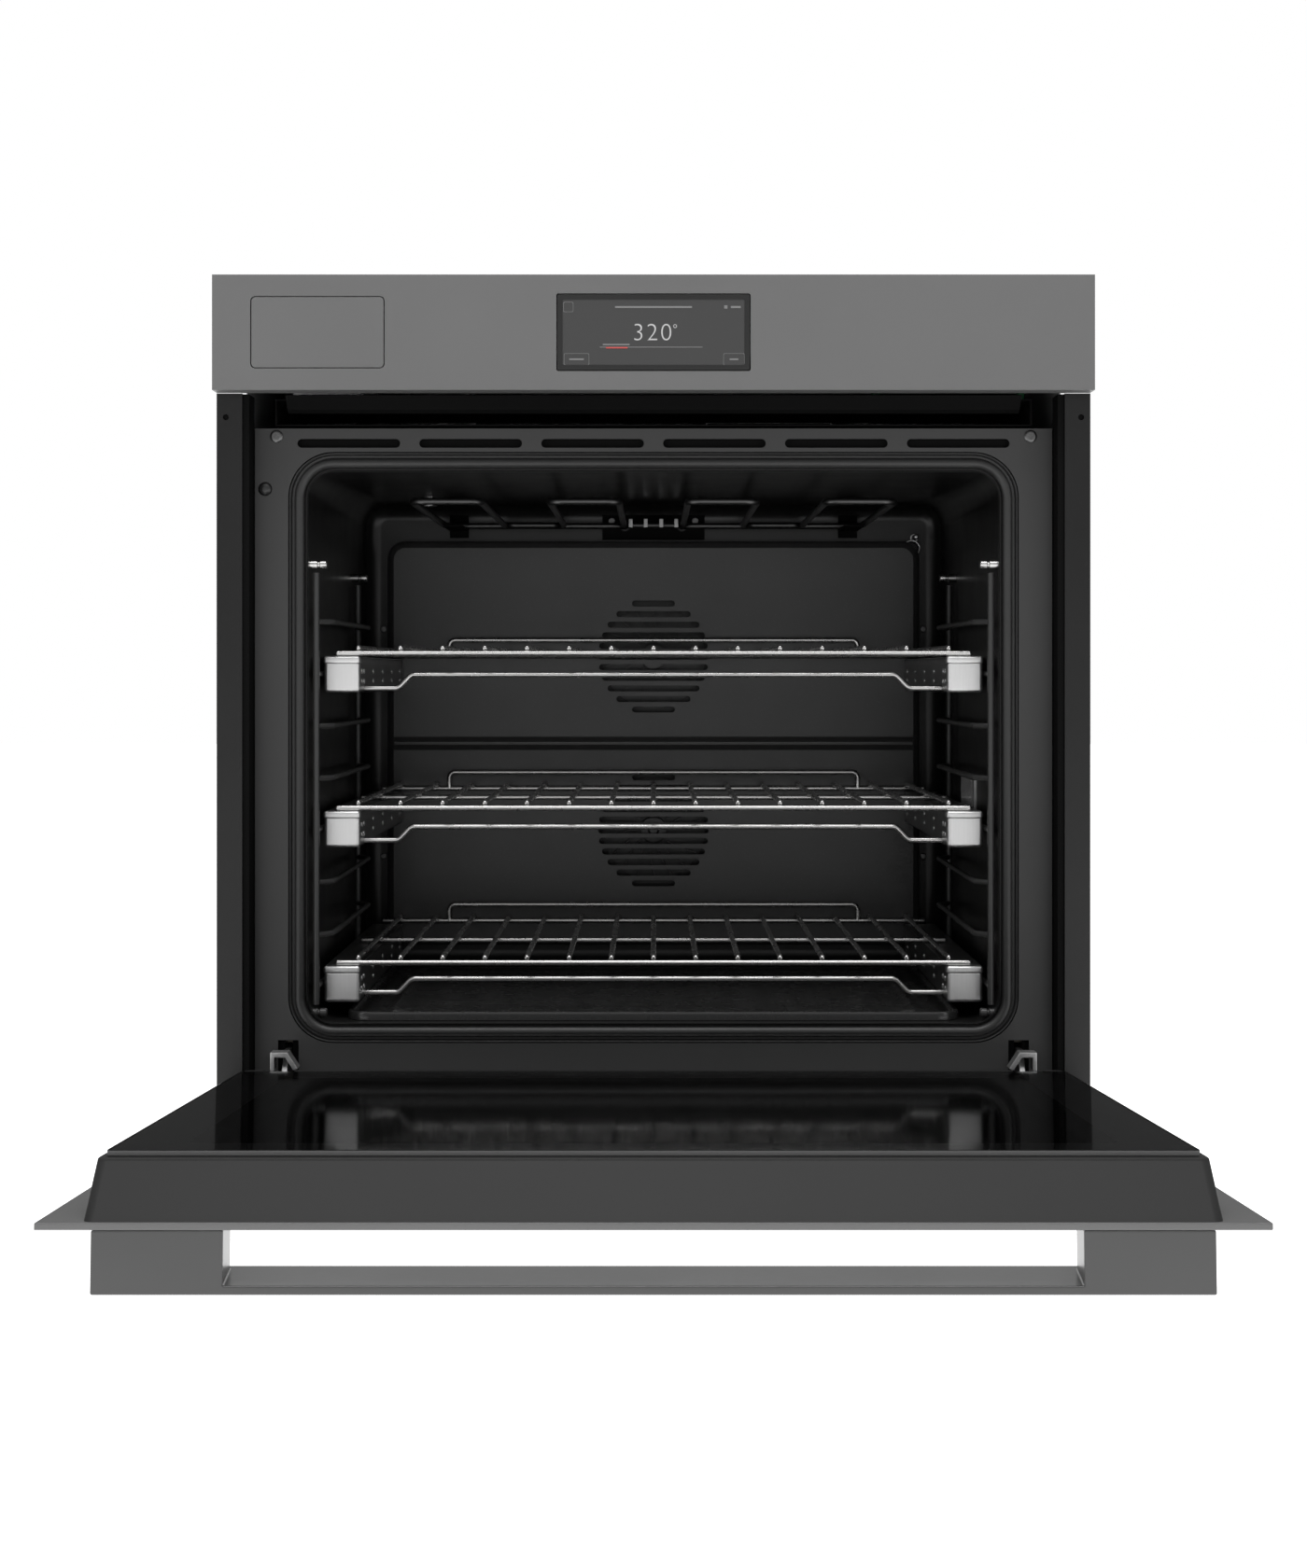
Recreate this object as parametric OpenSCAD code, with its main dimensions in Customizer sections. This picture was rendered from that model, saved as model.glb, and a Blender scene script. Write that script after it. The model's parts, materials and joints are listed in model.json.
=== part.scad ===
// Built-in wall oven: hollow case, enamelled cavity with two fans, three pull-out
// wire shelves, a drop-down glass door, a touch control panel and a water tank drawer.
// X runs to the right, Y back into the cabinet, Z up. Y = 0 is the cabinet's face and
// Z = 0 is the surface that the base pan stands on. The door is drawn open.

/* [Overall] */
// Width across the control panel, the trims and the door plate
oven_w = 757; // [620:1:950]
// Height from the base to the top of the control panel
oven_h = 728.5; // [700:0.5:900]
// Depth of the case behind the cabinet's face
case_d = 560; // [540:1:700]

/* [Case] */
// Thickness of the case's sheet metal
sheet_t = 1.2; // [0.8:0.1:2]
// Width of each side trim, which laps over the cabinet's face
trim_w = 25.5; // [18:0.5:32]
// How far the trims stand in front of the cabinet's face
trim_t = 2; // [1.6:0.1:4]
// Drop from the control panel's top to the case's top cover
case_drop = 6.5; // [3:0.5:12]
// Thickness of the mineral wool round the cavity
wool_t = 26; // [15:1:32]

/* [Control panel] */
// Height of the control panel
panel_h = 99; // [90:1:120]
// How far the panel's front stands in front of the cabinet's face
panel_d = 24; // [18:1:32]
// Thickness of the panel's shell
panel_t = 1.5; // [1:0.1:2.5]
// Width of the touch screen
screen_w = 165; // [120:1:200]
// Height of the touch screen
screen_h = 65; // [45:1:75]
// Width of the tank's flap
flap_w = 113.6; // [100:0.2:130]
// Height of the tank's flap
flap_h = 60.4; // [56:0.2:70]
// Distance from the oven's side to the tank flap's middle
flap_inset = 90.4; // [75:0.2:110]
// Gap round the flap and the screen
reveal = 0.8; // [0.4:0.1:1.5]

/* [Door] */
// Angle between the open door and the closed door
door_open = 86.3; // [75:0.1:90]
// Gap between the control panel and the door
door_gap = 5; // [3:0.5:8]
// Height of the door's lower edge above the base
door_lift = 10; // [8:0.5:14]
// Height of the hinge axis above the base
hinge_z = 18; // [16:0.5:20]
// Radius of the eye that holds each hinge pin
eye_r = 5.6; // [4.5:0.1:6.5]
// Thickness of the door's front plate
plate_t = 4.5; // [3:0.5:6]
// Thickness of the whole door
door_t = 42.8; // [38:0.2:45]
// Thickness of each pane
glass_t = 4; // [3:0.5:5]
// Width of the inner pane's printed border
border_w = 43; // [30:1:60]
// Gap between the door's body and the trims beside it
door_side_gap = 3; // [1.5:0.5:6]

/* [Handle] */
// Distance from the door's side to the handle's end
handle_inset = 37.5; // [10:0.5:120]
// Width of the grip, along the door's height
grip_w = 70; // [40:1:90]
// Thickness of the grip
grip_t = 5.7; // [4:0.1:8]
// Finger space between the door and the grip
grip_gap = 33.5; // [25:0.5:35]
// Length of each handle post
post_w = 81; // [40:1:100]

/* [Cavity] */
// Distance from the oven's side to the cavity wall
cavity_side = 75.5; // [72:0.5:90]
// Height of the cavity's floor above the base
cavity_floor = 79.5; // [74:0.5:95]
// Drop from the control panel's lower edge to the cavity's ceiling
cavity_drop = 66; // [60:0.5:80]
// Depth from the front frame to the cavity's back wall
cavity_d = 435; // [420:1:460]
// Distance of the front frame behind the cabinet's face
frame_set = 22; // [20:0.5:30]
// Corner radius of the cavity's mouth
mouth_r = 23; // [12:1:40]
// Width of the door seal
seal_w = 14; // [8:0.5:16]

/* [Shelves] */
// Height of the lowest shelf level above the cavity's floor
first_level = 30.5; // [29:0.5:50]
// Distance between shelf levels
level_pitch = 46; // [40:0.5:58]
// Diameter of the shelf and ladder wire
wire_d = 5; // [3.5:0.1:6]
// Distance between the lengthwise wires
wire_pitch = 37.6; // [30:0.2:55]
// Depth of a shelf, front bar to back bar
shelf_d = 367; // [330:1:372]
// Height of a slide
slide_h = 32.5; // [28:0.5:34]
// Width of a slide
slide_w = 31.5; // [28:0.5:36]

/* [Fans] */
// Distance between the two fan axes
fan_pitch = 182; // [150:1:190]
// Radius of each fan rotor
rotor_r = 55; // [40:1:58]
// Distance from the cavity's walls to the cover over the fans
cover_inset = 24; // [8:1:60]
// How far the cover stands in front of the cavity's back wall
cover_d = 24; // [22:0.5:30]
// Radius of each grille
grille_r = 61; // [50:1:68]

/* [Hidden] */
$fn = 48;

half_w = oven_w / 2;
case_hw = half_w - trim_w;             // outside of the case's sides
case_in = case_hw - sheet_t;           // inside of the case's sides
case_top = oven_h - case_drop;
panel_z = oven_h - panel_h;            // lower edge of the control panel
panel_mid = oven_h - panel_h / 2;
skin = 1.5;                            // thickness of the base pan

frame_t = 1.5;
frame_hw = case_in - 2.5;
frame_top = panel_z - 28.4;
frame_y = frame_set;

cavity_hw = half_w - cavity_side;
cavity_top = panel_z - cavity_drop;
cavity_h = cavity_top - cavity_floor;
back_y = frame_y + cavity_d;           // face of the cavity's back wall
liner_t = 1.2;
flange_y = frame_y + 6;                // seat of the door seal
seal_in = 2.8;                         // from the cavity wall to the seal
seal_hw = cavity_hw + seal_in + seal_w;
seal_stand = 2.9;                      // seal in front of the frame
seal_r = mouth_r + seal_in + seal_w;

levels = floor((cavity_h - first_level - 125) / level_pitch) + 1;
level_step = min(3, floor((levels - 1) / 2));  // levels from one shelf to the next
ladder_y0 = frame_y + 10;
ladder_y1 = frame_y + 308;
post_d = wire_d + 1;
post_x = cavity_hw - post_d;
jog_x = post_x - 12.5;
stud_z = level_z(levels - 1) + 40;
slide_x1 = post_x - post_d / 2 - 0.8;    // outer side of the slides
slide_x0 = slide_x1 - slide_w;         // inner side of the slides
slide_y0 = frame_y + 34;
slide_top = 16;                        // slide's top above its level
shelf_y0 = slide_y0 + 3.5;
shelf_y1 = shelf_y0 + shelf_d;
shelf_hw = slide_x1 - 9;
fit = 0.5;                             // working gap between sliding members

cover_hw = cavity_hw - cover_inset;
cover_z0 = cavity_floor + 22;
cover_z1 = cavity_top - 38.5;
cover_mid = (cover_z0 + cover_z1) / 2;
fan_z = [cover_mid + fan_pitch / 2, cover_mid - fan_pitch / 2];
shaft_r = 4;
run = 0.05;                            // running clearance of a shaft or pin
wool_x = cavity_hw + liner_t + 1;
wool_z0 = cavity_floor - liner_t - 16;
wool_z1 = cavity_top + liner_t + 0.8;
wool_y0 = flange_y + liner_t + 1;
wool_y1 = back_y + liner_t + 1;

door_hw = case_hw - door_side_gap;
door_top = panel_z - door_gap;
plate_y = plate_t - panel_d;           // back of the door's front plate
inner_y = door_t - panel_d;            // inner face of the closed door
pane_hw = door_hw - 5;
pane_z0 = hinge_z + 66;
pane_z1 = door_top - 44.5;
window_hw = pane_hw - border_w;
window_z0 = pane_z0 + border_w;
window_z1 = pane_z1 - border_w;
hinge_x = cavity_hw + 17;              // middle of each hinge
pin_r = eye_r - 2.7;
hinge_out = panel_d - plate_t - eye_r - 0.9;  // hinge axis in front of the cabinet's face
arm_t = 5;
handle_hw = half_w - handle_inset;

tank_x = flap_inset - half_w;
tank_hw = flap_w / 2 - 6.5;
tank_hh = flap_h / 2 - 6;
tank_y1 = 225;
duct_z0 = frame_top + 2.5;
duct_z1 = panel_z - 2.5;
duct_hw = case_in - 20;
blower_x = 110;
blower_y = 300;
blower_r = 82;
deck_z = wool_z1 + wool_t + sheet_t;   // top of the deck over the insulation

function level_z(i) = cavity_floor + first_level + level_pitch * i;

// ---- shared shapes ----

module block(lo, hi) {
    translate(lo) cube(hi - lo);
}

module mirrored() {
    children();
    mirror([1, 0, 0]) children();
}

// An outline drawn in X and Z, made solid from y0 to y1
module along_y(y0, y1) {
    translate([0, y1, 0]) rotate([90, 0, 0]) linear_extrude(y1 - y0) children();
}

// An outline drawn in Y and Z, made solid from x0 to x1
module along_x(x0, x1) {
    translate([x0, 0, 0]) rotate([90, 0, 90]) linear_extrude(x1 - x0) children();
}

// Rectangle with rounded corners, from its lowest and highest corners
module rounded(lo, hi, r) {
    difference() {
        translate(lo) square(hi - lo);
        for (c = [[lo[0], lo[1]], [hi[0], lo[1]], [lo[0], hi[1]], [hi[0], hi[1]]])
            translate([min(max(c[0], lo[0] + r), hi[0] - r), min(max(c[1], lo[1] + r), hi[1] - r)])
                corner_waste(c[0] > lo[0] ? 1 : -1, c[1] > lo[1] ? 1 : -1, r);
    }
}

module corner_waste(sx, sy, r) {
    difference() {
        translate([sx > 0 ? 0 : -r - 1, sy > 0 ? 0 : -r - 1]) square(r + 1);
        circle(r);
    }
}

// A straight wire from p to q
module wire(p, q, d) {
    v = q - p;
    l = norm(v);
    translate(p) rotate([0, acos(v[2] / l), atan2(v[1], v[0])]) cylinder(d = d, h = l);
}

// A wire through points, with a ball at each bend
module bent_wire(points, d) {
    for (i = [0 : len(points) - 2]) wire(points[i], points[i + 1], d);
    for (i = [1 : len(points) - 2]) translate(points[i]) sphere(d = d + 0.2);
}

// A screw with its axis along -Y, head towards the front
module screw_y(x, y, z, head_d, length) {
    translate([x, y, z]) rotate([-90, 0, 0]) {
        translate([0, 0, -2]) cylinder(d = head_d, h = 2);
        cylinder(d = head_d * 0.5, h = length);
    }
}

// Turns the closed door to where it stands open
module opened() {
    translate([0, -hinge_out, hinge_z]) rotate([door_open, 0, 0])
        translate([0, hinge_out, -hinge_z]) children();
}

// ---- case ----

module base_pan() {
    color("silver") difference() {
        union() {
            block([-case_hw, -trim_t, 0], [case_hw, case_d, skin]);
            mirrored() block([case_in - 8, 40, skin], [case_in, case_d - 10, 20]);
        }
        for (x = [-150 : 60 : 150], y = [120, 300]) translate([x, y, -1]) cylinder(r = 12, h = 4);
    }
}

module side_panels() {
    color("silver") mirrored()
        block([case_in, 0, skin], [case_hw, case_d - sheet_t, case_top - sheet_t]);
}

module back_panel() {
    color("silver") difference() {
        block([-case_hw, case_d - sheet_t, skin], [case_hw, case_d, case_top - sheet_t]);
        for (x = [-220 : 40 : 220])
            block([x, case_d - 3, case_top - 60], [x + 26, case_d + 1, case_top - 54]);
        translate([case_in - 90, case_d - 5, case_top - 55]) rotate([-90, 0, 0])
            cylinder(r = gland_r, h = 10);
    }
}
gland_r = 10;

module top_cover() {
    color("silver")
        block([-case_hw, 0, case_top - sheet_t], [case_hw, case_d, case_top]);
}

module front_frame() {
    color("dimgray") difference() {
        along_y(frame_y, frame_y + frame_t) difference() {
            translate([-frame_hw, skin + 1]) square([2 * frame_hw, frame_top - skin - 1]);
            rounded([-seal_hw - 0.3, cavity_floor - seal_in - seal_w - 0.3],
                [seal_hw + 0.3, cavity_top + seal_in + seal_w + 0.3], seal_r);
        }
        frame_slots();
        mirrored() block([hinge_x - 9, frame_y - 1, hinge_z + 4],
            [hinge_x + 9, frame_y + 3, hinge_z + 47]);
        mirrored() translate([screw_x, frame_y - 1, frame_top - 7]) rotate([-90, 0, 0])
            cylinder(r = 2.9, h = 4);
        translate([-plunger_x, frame_y - 1, plunger_z]) rotate([-90, 0, 0])
            cylinder(r = plunger_r + 0.4, h = 4);
    }
}
screw_x = frame_hw - 19;
plunger_x = frame_hw - 9;
plunger_z = frame_top - 53;
plunger_r = 5.75;
slot_w = 90;
slot_pitch = 106.8;

// Six air slots along the frame's upper strip
module frame_slots() {
    n = floor((2 * screw_x - 10) / slot_pitch);
    for (i = [0 : n - 1]) translate([(i - (n - 1) / 2) * slot_pitch, 0, frame_top - 13])
        along_y(frame_y - 1, frame_y + 3) {
            square([slot_w - 7.8, 7.8], center = true);
            for (s = [-1, 1]) translate([s * (slot_w - 7.8) / 2, 0]) circle(3.9);
        }
}

module side_trims() {
    color("gray") mirrored() difference() {
        union() {
            block([case_hw, -trim_t, 0], [half_w, -trim_t + sheet_t, panel_z - 0.5]);
            block([half_w - sheet_t, -trim_t, 0], [half_w, 0, panel_z - 0.5]);
            block([case_hw, -trim_t, 0], [case_hw + sheet_t, 18, panel_z - 0.5]);
        }
        translate([half_w - 8, -trim_t - 1, panel_z - 21]) rotate([-90, 0, 0])
            cylinder(r = 2.6, h = 5);
    }
}

// ---- control panel and what is behind it ----

module control_panel_fascia() {
    color("gray") difference() {
        block([-half_w, -panel_d, panel_z], [half_w, 0, oven_h]);
        block([-half_w + panel_t, -panel_d + panel_t, panel_z + panel_t],
            [half_w - panel_t, 1, oven_h - panel_t]);
        along_y(-panel_d - 1, 0) rounded([-screen_w / 2 - reveal, panel_mid - screen_h / 2 - reveal],
            [screen_w / 2 + reveal, panel_mid + screen_h / 2 + reveal], 2);
        along_y(-panel_d - 1, 0) rounded(
            [tank_x - flap_w / 2 - reveal, panel_mid - flap_h / 2 - reveal],
            [tank_x + flap_w / 2 + reveal, panel_mid + flap_h / 2 + reveal], 3.6 + reveal);
    }
}

module touch_screen() {
    color("black") along_y(-panel_d - 0.3, -panel_d + 3)
        rounded([-screen_w / 2, panel_mid - screen_h / 2], [screen_w / 2, panel_mid + screen_h / 2], 1.5);
}

module display_module() {
    color("darkgreen")
        block([-screen_w / 2 + 8, -panel_d + 3, panel_mid - screen_h / 2 + 4],
            [screen_w / 2 - 8, -panel_d + 14, panel_mid + screen_h / 2 - 4]);
}

// Circuit board on spacers over the duct, with its transformer, heat sink and capacitor
module control_board() {
    z = duct_z1 + 15;
    x1 = case_in - 20;
    color("seagreen") {
        block([190, 40, z], [x1, 190, z + 2]);
        block([205, 60, z + 2], [245, 110, z + 32]);
        block([265, 60, z + 2], [285, 150, z + 22]);
        translate([225, 150, z + 2]) cylinder(r = 12, h = 30);
        for (x = [197, x1 - 7], y = [47, 183]) translate([x, y, duct_z1]) cylinder(r = 4, h = 16);
    }
}

// Sheet over the insulation that carries the blower, the pump and the steam generator
module service_deck() {
    color("silver") difference() {
        block([-case_in, frame_y + 10, deck_z - sheet_t], [case_in, case_d - 30, deck_z]);
        translate([steam_x, 375, deck_z - 5]) cylinder(r = 7, h = 10);
    }
}

module tank_sleeve() {
    g = 1.5;
    color("whitesmoke") difference() {
        union() {
            block([tank_x - tank_hw - g - 2, -panel_d + 6, panel_mid - tank_hh - g - 2],
                [tank_x + tank_hw + g + 2, tank_y1 + 8, panel_mid + tank_hh + g + 2]);
            for (y = [40, 180])
                block([tank_x - 30, y, duct_z1], [tank_x + 30, y + 20, panel_mid - tank_hh]);
        }
        block([tank_x - tank_hw - g, -panel_d + 5, panel_mid - tank_hh - g],
            [tank_x + tank_hw + g, tank_y1 + 5, panel_mid + tank_hh + g]);
    }
}

module tank_flap() {
    color("gray") along_y(-panel_d, -panel_d + 4)
        rounded([tank_x - flap_w / 2, panel_mid - flap_h / 2],
            [tank_x + flap_w / 2, panel_mid + flap_h / 2], 3.6);
}

module water_tank() {
    w = 2.5;
    color("lightblue", 0.6) difference() {
        block([tank_x - tank_hw, -panel_d + 4, panel_mid - tank_hh],
            [tank_x + tank_hw, tank_y1, panel_mid + tank_hh - 3]);
        block([tank_x - tank_hw + w, -panel_d + 4 + w, panel_mid - tank_hh + w],
            [tank_x + tank_hw - w, tank_y1 - w, panel_mid + tank_hh]);
    }
}

module tank_lid() {
    color("lightblue", 0.6) difference() {
        block([tank_x - tank_hw, -panel_d + 4, panel_mid + tank_hh - 3],
            [tank_x + tank_hw, tank_y1, panel_mid + tank_hh]);
        translate([tank_x, tank_y1 - 40, panel_mid]) cylinder(r = 14, h = 60);
    }
}

module water_pump() {
    z = panel_mid - deck_z;
    color("dimgray") translate([tank_x + 20, tank_y1 + 40, deck_z]) {
        cylinder(r = 22, h = z + 18);
        translate([-6, 0, z]) rotate([90, 0, 0]) cylinder(r = 5, h = 32);
    }
}

module steam_generator() {
    color("lightgray") {
        block([steam_x - 45, 330, deck_z], [steam_x + 45, 420, deck_z + 80]);
        translate([steam_x, 375, deck_z + 80]) cylinder(r = 10, h = 12);
    }
}
steam_x = -230;

// Steam pipe from the generator down through the wool and the cavity's ceiling
module steam_pipe() {
    z0 = cavity_top - 6;
    color("silver") translate([steam_x, 375, z0]) difference() {
        union() {
            cylinder(r = 5, h = deck_z - z0);
            cylinder(r = 9, h = 5);
        }
        translate([0, 0, -1]) cylinder(r = 3.6, h = deck_z - z0 + 2);
    }
}

module cooling_duct() {
    color("silver") difference() {
        block([-duct_hw, frame_y + 3, duct_z0], [duct_hw, blower_y - blower_r - 4, duct_z1]);
        block([-duct_hw + sheet_t, frame_y + 2, duct_z0 + sheet_t],
            [duct_hw - sheet_t, blower_y - blower_r - 4 + 1, duct_z1 - sheet_t]);
    }
}

module blower_housing() {
    t = 1.5;
    h = 62;
    color("dimgray") translate([blower_x, blower_y, deck_z]) difference() {
        union() {
            cylinder(r = blower_r, h = h);
            block([-60, -blower_r - 4, 0], [60, 0, duct_z1 - deck_z]);
        }
        translate([0, 0, t]) cylinder(r = blower_r - t, h = h - 2 * t);
        translate([0, 0, h / 2]) cylinder(r = 48, h = h);
        block([-60 + t, -blower_r - 5, t], [60 - t, 0, duct_z1 - deck_z - t]);
        translate([0, 0, -1]) cylinder(r = 8, h = 5);
    }
}

module blower_rotor() {
    color("gainsboro") translate([blower_x, blower_y, deck_z + 5]) {
        cylinder(r = 66, h = 2);
        cylinder(r = 12, h = 50);
        for (a = [0 : 15 : 345]) rotate(a) translate([50, -0.6, 1]) cube([15, 1.2, 44]);
        difference() {
            translate([0, 0, 44]) cylinder(r = 66, h = 2);
            translate([0, 0, 43]) cylinder(r = 50, h = 4);
        }
        cylinder(r = shaft_r, h = 68);
    }
}

// The motor hangs from three legs over the blower's inlet
module blower_motor() {
    z = deck_z + 62;
    color("darkgray") translate([blower_x, blower_y, z]) {
        difference() {
            union() {
                cylinder(r = 30, h = 26);
                for (a = [0, 120, 240]) rotate(a) block([20, -5, 0], [blower_r - 4, 5, 2]);
            }
            translate([0, 0, -12]) cylinder(r = shaft_r + run, h = 26);
        }
    }
}

module terminal_block() {
    color("white") {
        block([case_in - 120, case_d - 60, case_top - 75], [case_in - 60, case_d - 12, case_top - 40]);
        difference() {
            translate([case_in - 90, case_d - 12, case_top - 55]) rotate([-90, 0, 0])
                cylinder(r = gland_r - 0.5, h = 16);
            translate([case_in - 90, case_d - 10, case_top - 55]) rotate([-90, 0, 0])
                cylinder(r = 5, h = 16);
        }
    }
}

// ---- cavity ----

module mouth(grow) {
    rounded([-cavity_hw - grow, cavity_floor - grow], [cavity_hw + grow, cavity_top + grow],
        mouth_r + grow);
}

module cavity_liner() {
    color("darkslategray") difference() {
        union() {
            along_y(frame_y + 1, back_y + liner_t) mouth(liner_t);
            along_y(flange_y, flange_y + liner_t) mouth(seal_in + seal_w + 3);
        }
        along_y(frame_y - 1, back_y) mouth(0);
        for (z = fan_z) translate([0, back_y - 1, z]) rotate([-90, 0, 0]) cylinder(r = 7, h = 5);
        for (x = [-30, 30]) translate([x, back_y - 1, element_z]) rotate([-90, 0, 0])
            cylinder(r = 5, h = 5);
        translate([steam_x, 375, cavity_top - 1]) cylinder(r = 5.3, h = 5);
        translate([probe_x, back_y - 1, probe_z]) rotate([-90, 0, 0]) cylinder(r = 3.3, h = 5);
        block([cavity_hw - 2, lens_y, lens_z], [cavity_hw + 3, lens_y + lens_w, lens_z + lens_h]);
    }
}
element_z = cavity_top - 22;
probe_x = cavity_hw - 28;
probe_z = cavity_top - 34;
lens_y = 176;
lens_w = 86;
lens_h = 60;
lens_z = level_z(4) - 66;

module insulation() {
    color("khaki") difference() {
        block([-wool_x - wool_t, wool_y0, wool_z0 - wool_t],
            [wool_x + wool_t, wool_y1 + wool_t, wool_z1 + wool_t]);
        mirrored() block([hinge_x - 6, wool_y0 - 1, wool_z0 - wool_t - 1],
            [hinge_x + 6, frame_y + 74, hinge_z + 44]);
        block([-wool_x, wool_y0 - 1, wool_z0], [wool_x, wool_y1, wool_z1]);
        for (z = fan_z) translate([0, wool_y1 - 1, z]) rotate([-90, 0, 0])
            cylinder(r = motor_r + 3, h = wool_t + 2);
        for (x = [-30, 30]) translate([x, wool_y1 - 1, element_z]) rotate([-90, 0, 0])
            cylinder(r = 6, h = wool_t + 2);
        translate([steam_x, 375, wool_z1 - 1]) cylinder(r = 7, h = wool_t + 2);
        translate([probe_x, wool_y1 - 1, probe_z]) rotate([-90, 0, 0])
            cylinder(r = 5, h = wool_t + 2);
        block([wool_x - 1, lens_y - 4, lens_z - 4],
            [wool_x + wool_t + 1, lens_y + lens_w + 4, lens_z + lens_h + 4]);
    }
}
motor_r = 34;

module door_seal() {
    color("black") along_y(frame_y - seal_stand, flange_y) difference() {
        mouth(seal_in + seal_w);
        mouth(seal_in);
    }
}

// The fan cover's shape with its bevelled edges, shrunk by s all round; an inner
// shape runs back past the wall
module cover_shape(s) {
    hw = cover_hw - s;
    z0 = cover_z0 + s;
    z1 = cover_z1 - s;
    y0 = back_y - cover_d + s;
    y1 = back_y + s;
    b = 15.6;
    intersection() {
        along_x(-hw, hw) polygon([[y0, z0 + b], [y0, z1 - b], [y0 + b, z1], [y1, z1],
            [y1, z0], [y0 + b, z0]]);
        translate([0, 0, z0 - 1]) linear_extrude(z1 - z0 + 2)
            polygon([[-hw + b, y0], [hw - b, y0], [hw, y0 + b], [hw, y1], [-hw, y1],
                [-hw, y0 + b]]);
    }
}

module fan_cover() {
    color("dimgray") difference() {
        cover_shape(0);
        cover_shape(liner_t);
        for (z = fan_z) translate([0, 0, z]) grille();
    }
}

// Eleven slots that fill a circle
module grille() {
    pitch = 2 * grille_r / 11;
    for (i = [-5 : 5]) {
        z = i * pitch;
        w = sqrt(pow(grille_r, 2) - pow(abs(z), 2)) - 3;
        along_y(back_y - cover_d - 1, back_y - cover_d + 3) translate([0, z]) {
            square([2 * w - 6.3, 6.3], center = true);
            for (s = [-1, 1]) translate([s * (w - 3.15), 0]) circle(3.15);
        }
    }
}

module fan_rotor(z) {
    y0 = back_y - cover_d + 5;
    color("silver") translate([0, y0, z]) rotate([-90, 0, 0]) {
        translate([0, 0, cover_d - 9]) cylinder(r = rotor_r, h = 1);
        cylinder(r = 11, h = cover_d - 8);
        for (a = [0 : 22.5 : 337.5]) rotate(a) translate([18, -0.5, 1]) cube([rotor_r - 20, 1, cover_d - 9]);
        cylinder(r = shaft_r, h = cover_d + 26);
    }
}

module fan_motors() {
    color("darkgray") for (z = fan_z) translate([0, back_y + liner_t, z]) rotate([-90, 0, 0])
        difference() {
            union() {
                cylinder(r = 16, h = 8);
                translate([0, 0, 8]) cylinder(r = motor_r, h = 46);
                translate([0, 0, 54]) cylinder(r = 12, h = 6);
            }
            translate([0, 0, -1]) cylinder(r = shaft_r + run, h = 32);
        }
}

module ring_elements() {
    r = rotor_r + 14;
    color("darkgray") for (z = fan_z) translate([0, back_y, z]) rotate([90, 0, 0]) {
        translate([0, 0, 9]) rotate_extrude() translate([r, 0]) circle(element_d / 2);
        for (s = [-1, 1]) translate([s * r, 0, 0]) cylinder(r = 2.4, h = 9);
    }
}

// Serpentine rod under the cavity's ceiling, with both ends through the back wall
module grill_element() {
    runs = 8;
    hw = cavity_hw - 85;
    pitch = 2 * hw / (runs - 1);
    y0 = frame_y + 60 + pitch / 2;
    y1 = back_y - 25 - pitch / 2;
    yt = back_y - 14;
    h = element_d / 2;
    color("dimgray") translate([0, 0, element_z - h]) linear_extrude(element_d) {
        for (i = [0 : runs - 1]) {
            x = i * pitch - hw;
            end = i == 0 || i == runs - 1;
            translate([x - h, y0]) square([element_d, (end ? yt + h : y1) - y0]);
        }
        for (i = [0 : runs - 2]) translate([(i + 0.5) * pitch - hw, i % 2 == 0 ? y0 : y1])
            half_ring(pitch / 2, i % 2 == 0 ? -1 : 1);
        for (s = [0, 1]) mirror([s, 0]) {
            translate([30 - h, yt - h]) square([hw - 30, element_d]);
            translate([30 - h, yt - h]) square([element_d, back_y + 20 - yt]);
        }
    }
}
element_d = 6.4;

// Half a flat ring of radius r, on the side towards +Y or -Y
module half_ring(r, side) {
    difference() {
        circle(r + element_d / 2);
        circle(r - element_d / 2);
        translate([-2 * r, side > 0 ? -2 * r : 0]) square([4 * r, 2 * r]);
    }
}

module grill_brackets() {
    color("silver") {
        difference() {
            block([-54, back_y - 1.5, element_z - 14], [54, back_y, cavity_top - 4]);
            for (x = [-30, 30]) translate([x, back_y - 3, element_z]) rotate([-90, 0, 0])
                cylinder(r = 5, h = 5);
        }
        h = element_d / 2;
        for (x = [-205, 205]) {
            block([x - 10, back_y - 1.5, element_z - 12], [x + 10, back_y, element_z + 12]);
            block([x - 10, back_y - 80, element_z - h - 1.5], [x + 10, back_y, element_z - h]);
        }
    }
}

module bottom_element() {
    z = cavity_floor - liner_t - 5;
    hw = cavity_hw - 60;
    y0 = frame_y + 80;
    y1 = back_y - 60;
    h = element_d / 2;
    color("dimgray") translate([0, 0, z - h]) linear_extrude(element_d) difference() {
        translate([-hw - h, y0 - h]) square([2 * hw + element_d, y1 - y0 + element_d]);
        translate([-hw + h, y0 + h]) square([2 * hw - element_d, y1 - y0 - element_d]);
        translate([-40, y1 - 2 * h]) square([80, 20]);
    }
}

module temperature_probe() {
    color("silver") translate([probe_x, back_y - 26, probe_z]) rotate([-90, 0, 0]) {
        cylinder(r = 3, h = 60);
        translate([0, 0, 24.5]) cylinder(r = 4, h = 1.5);
    }
}

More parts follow.
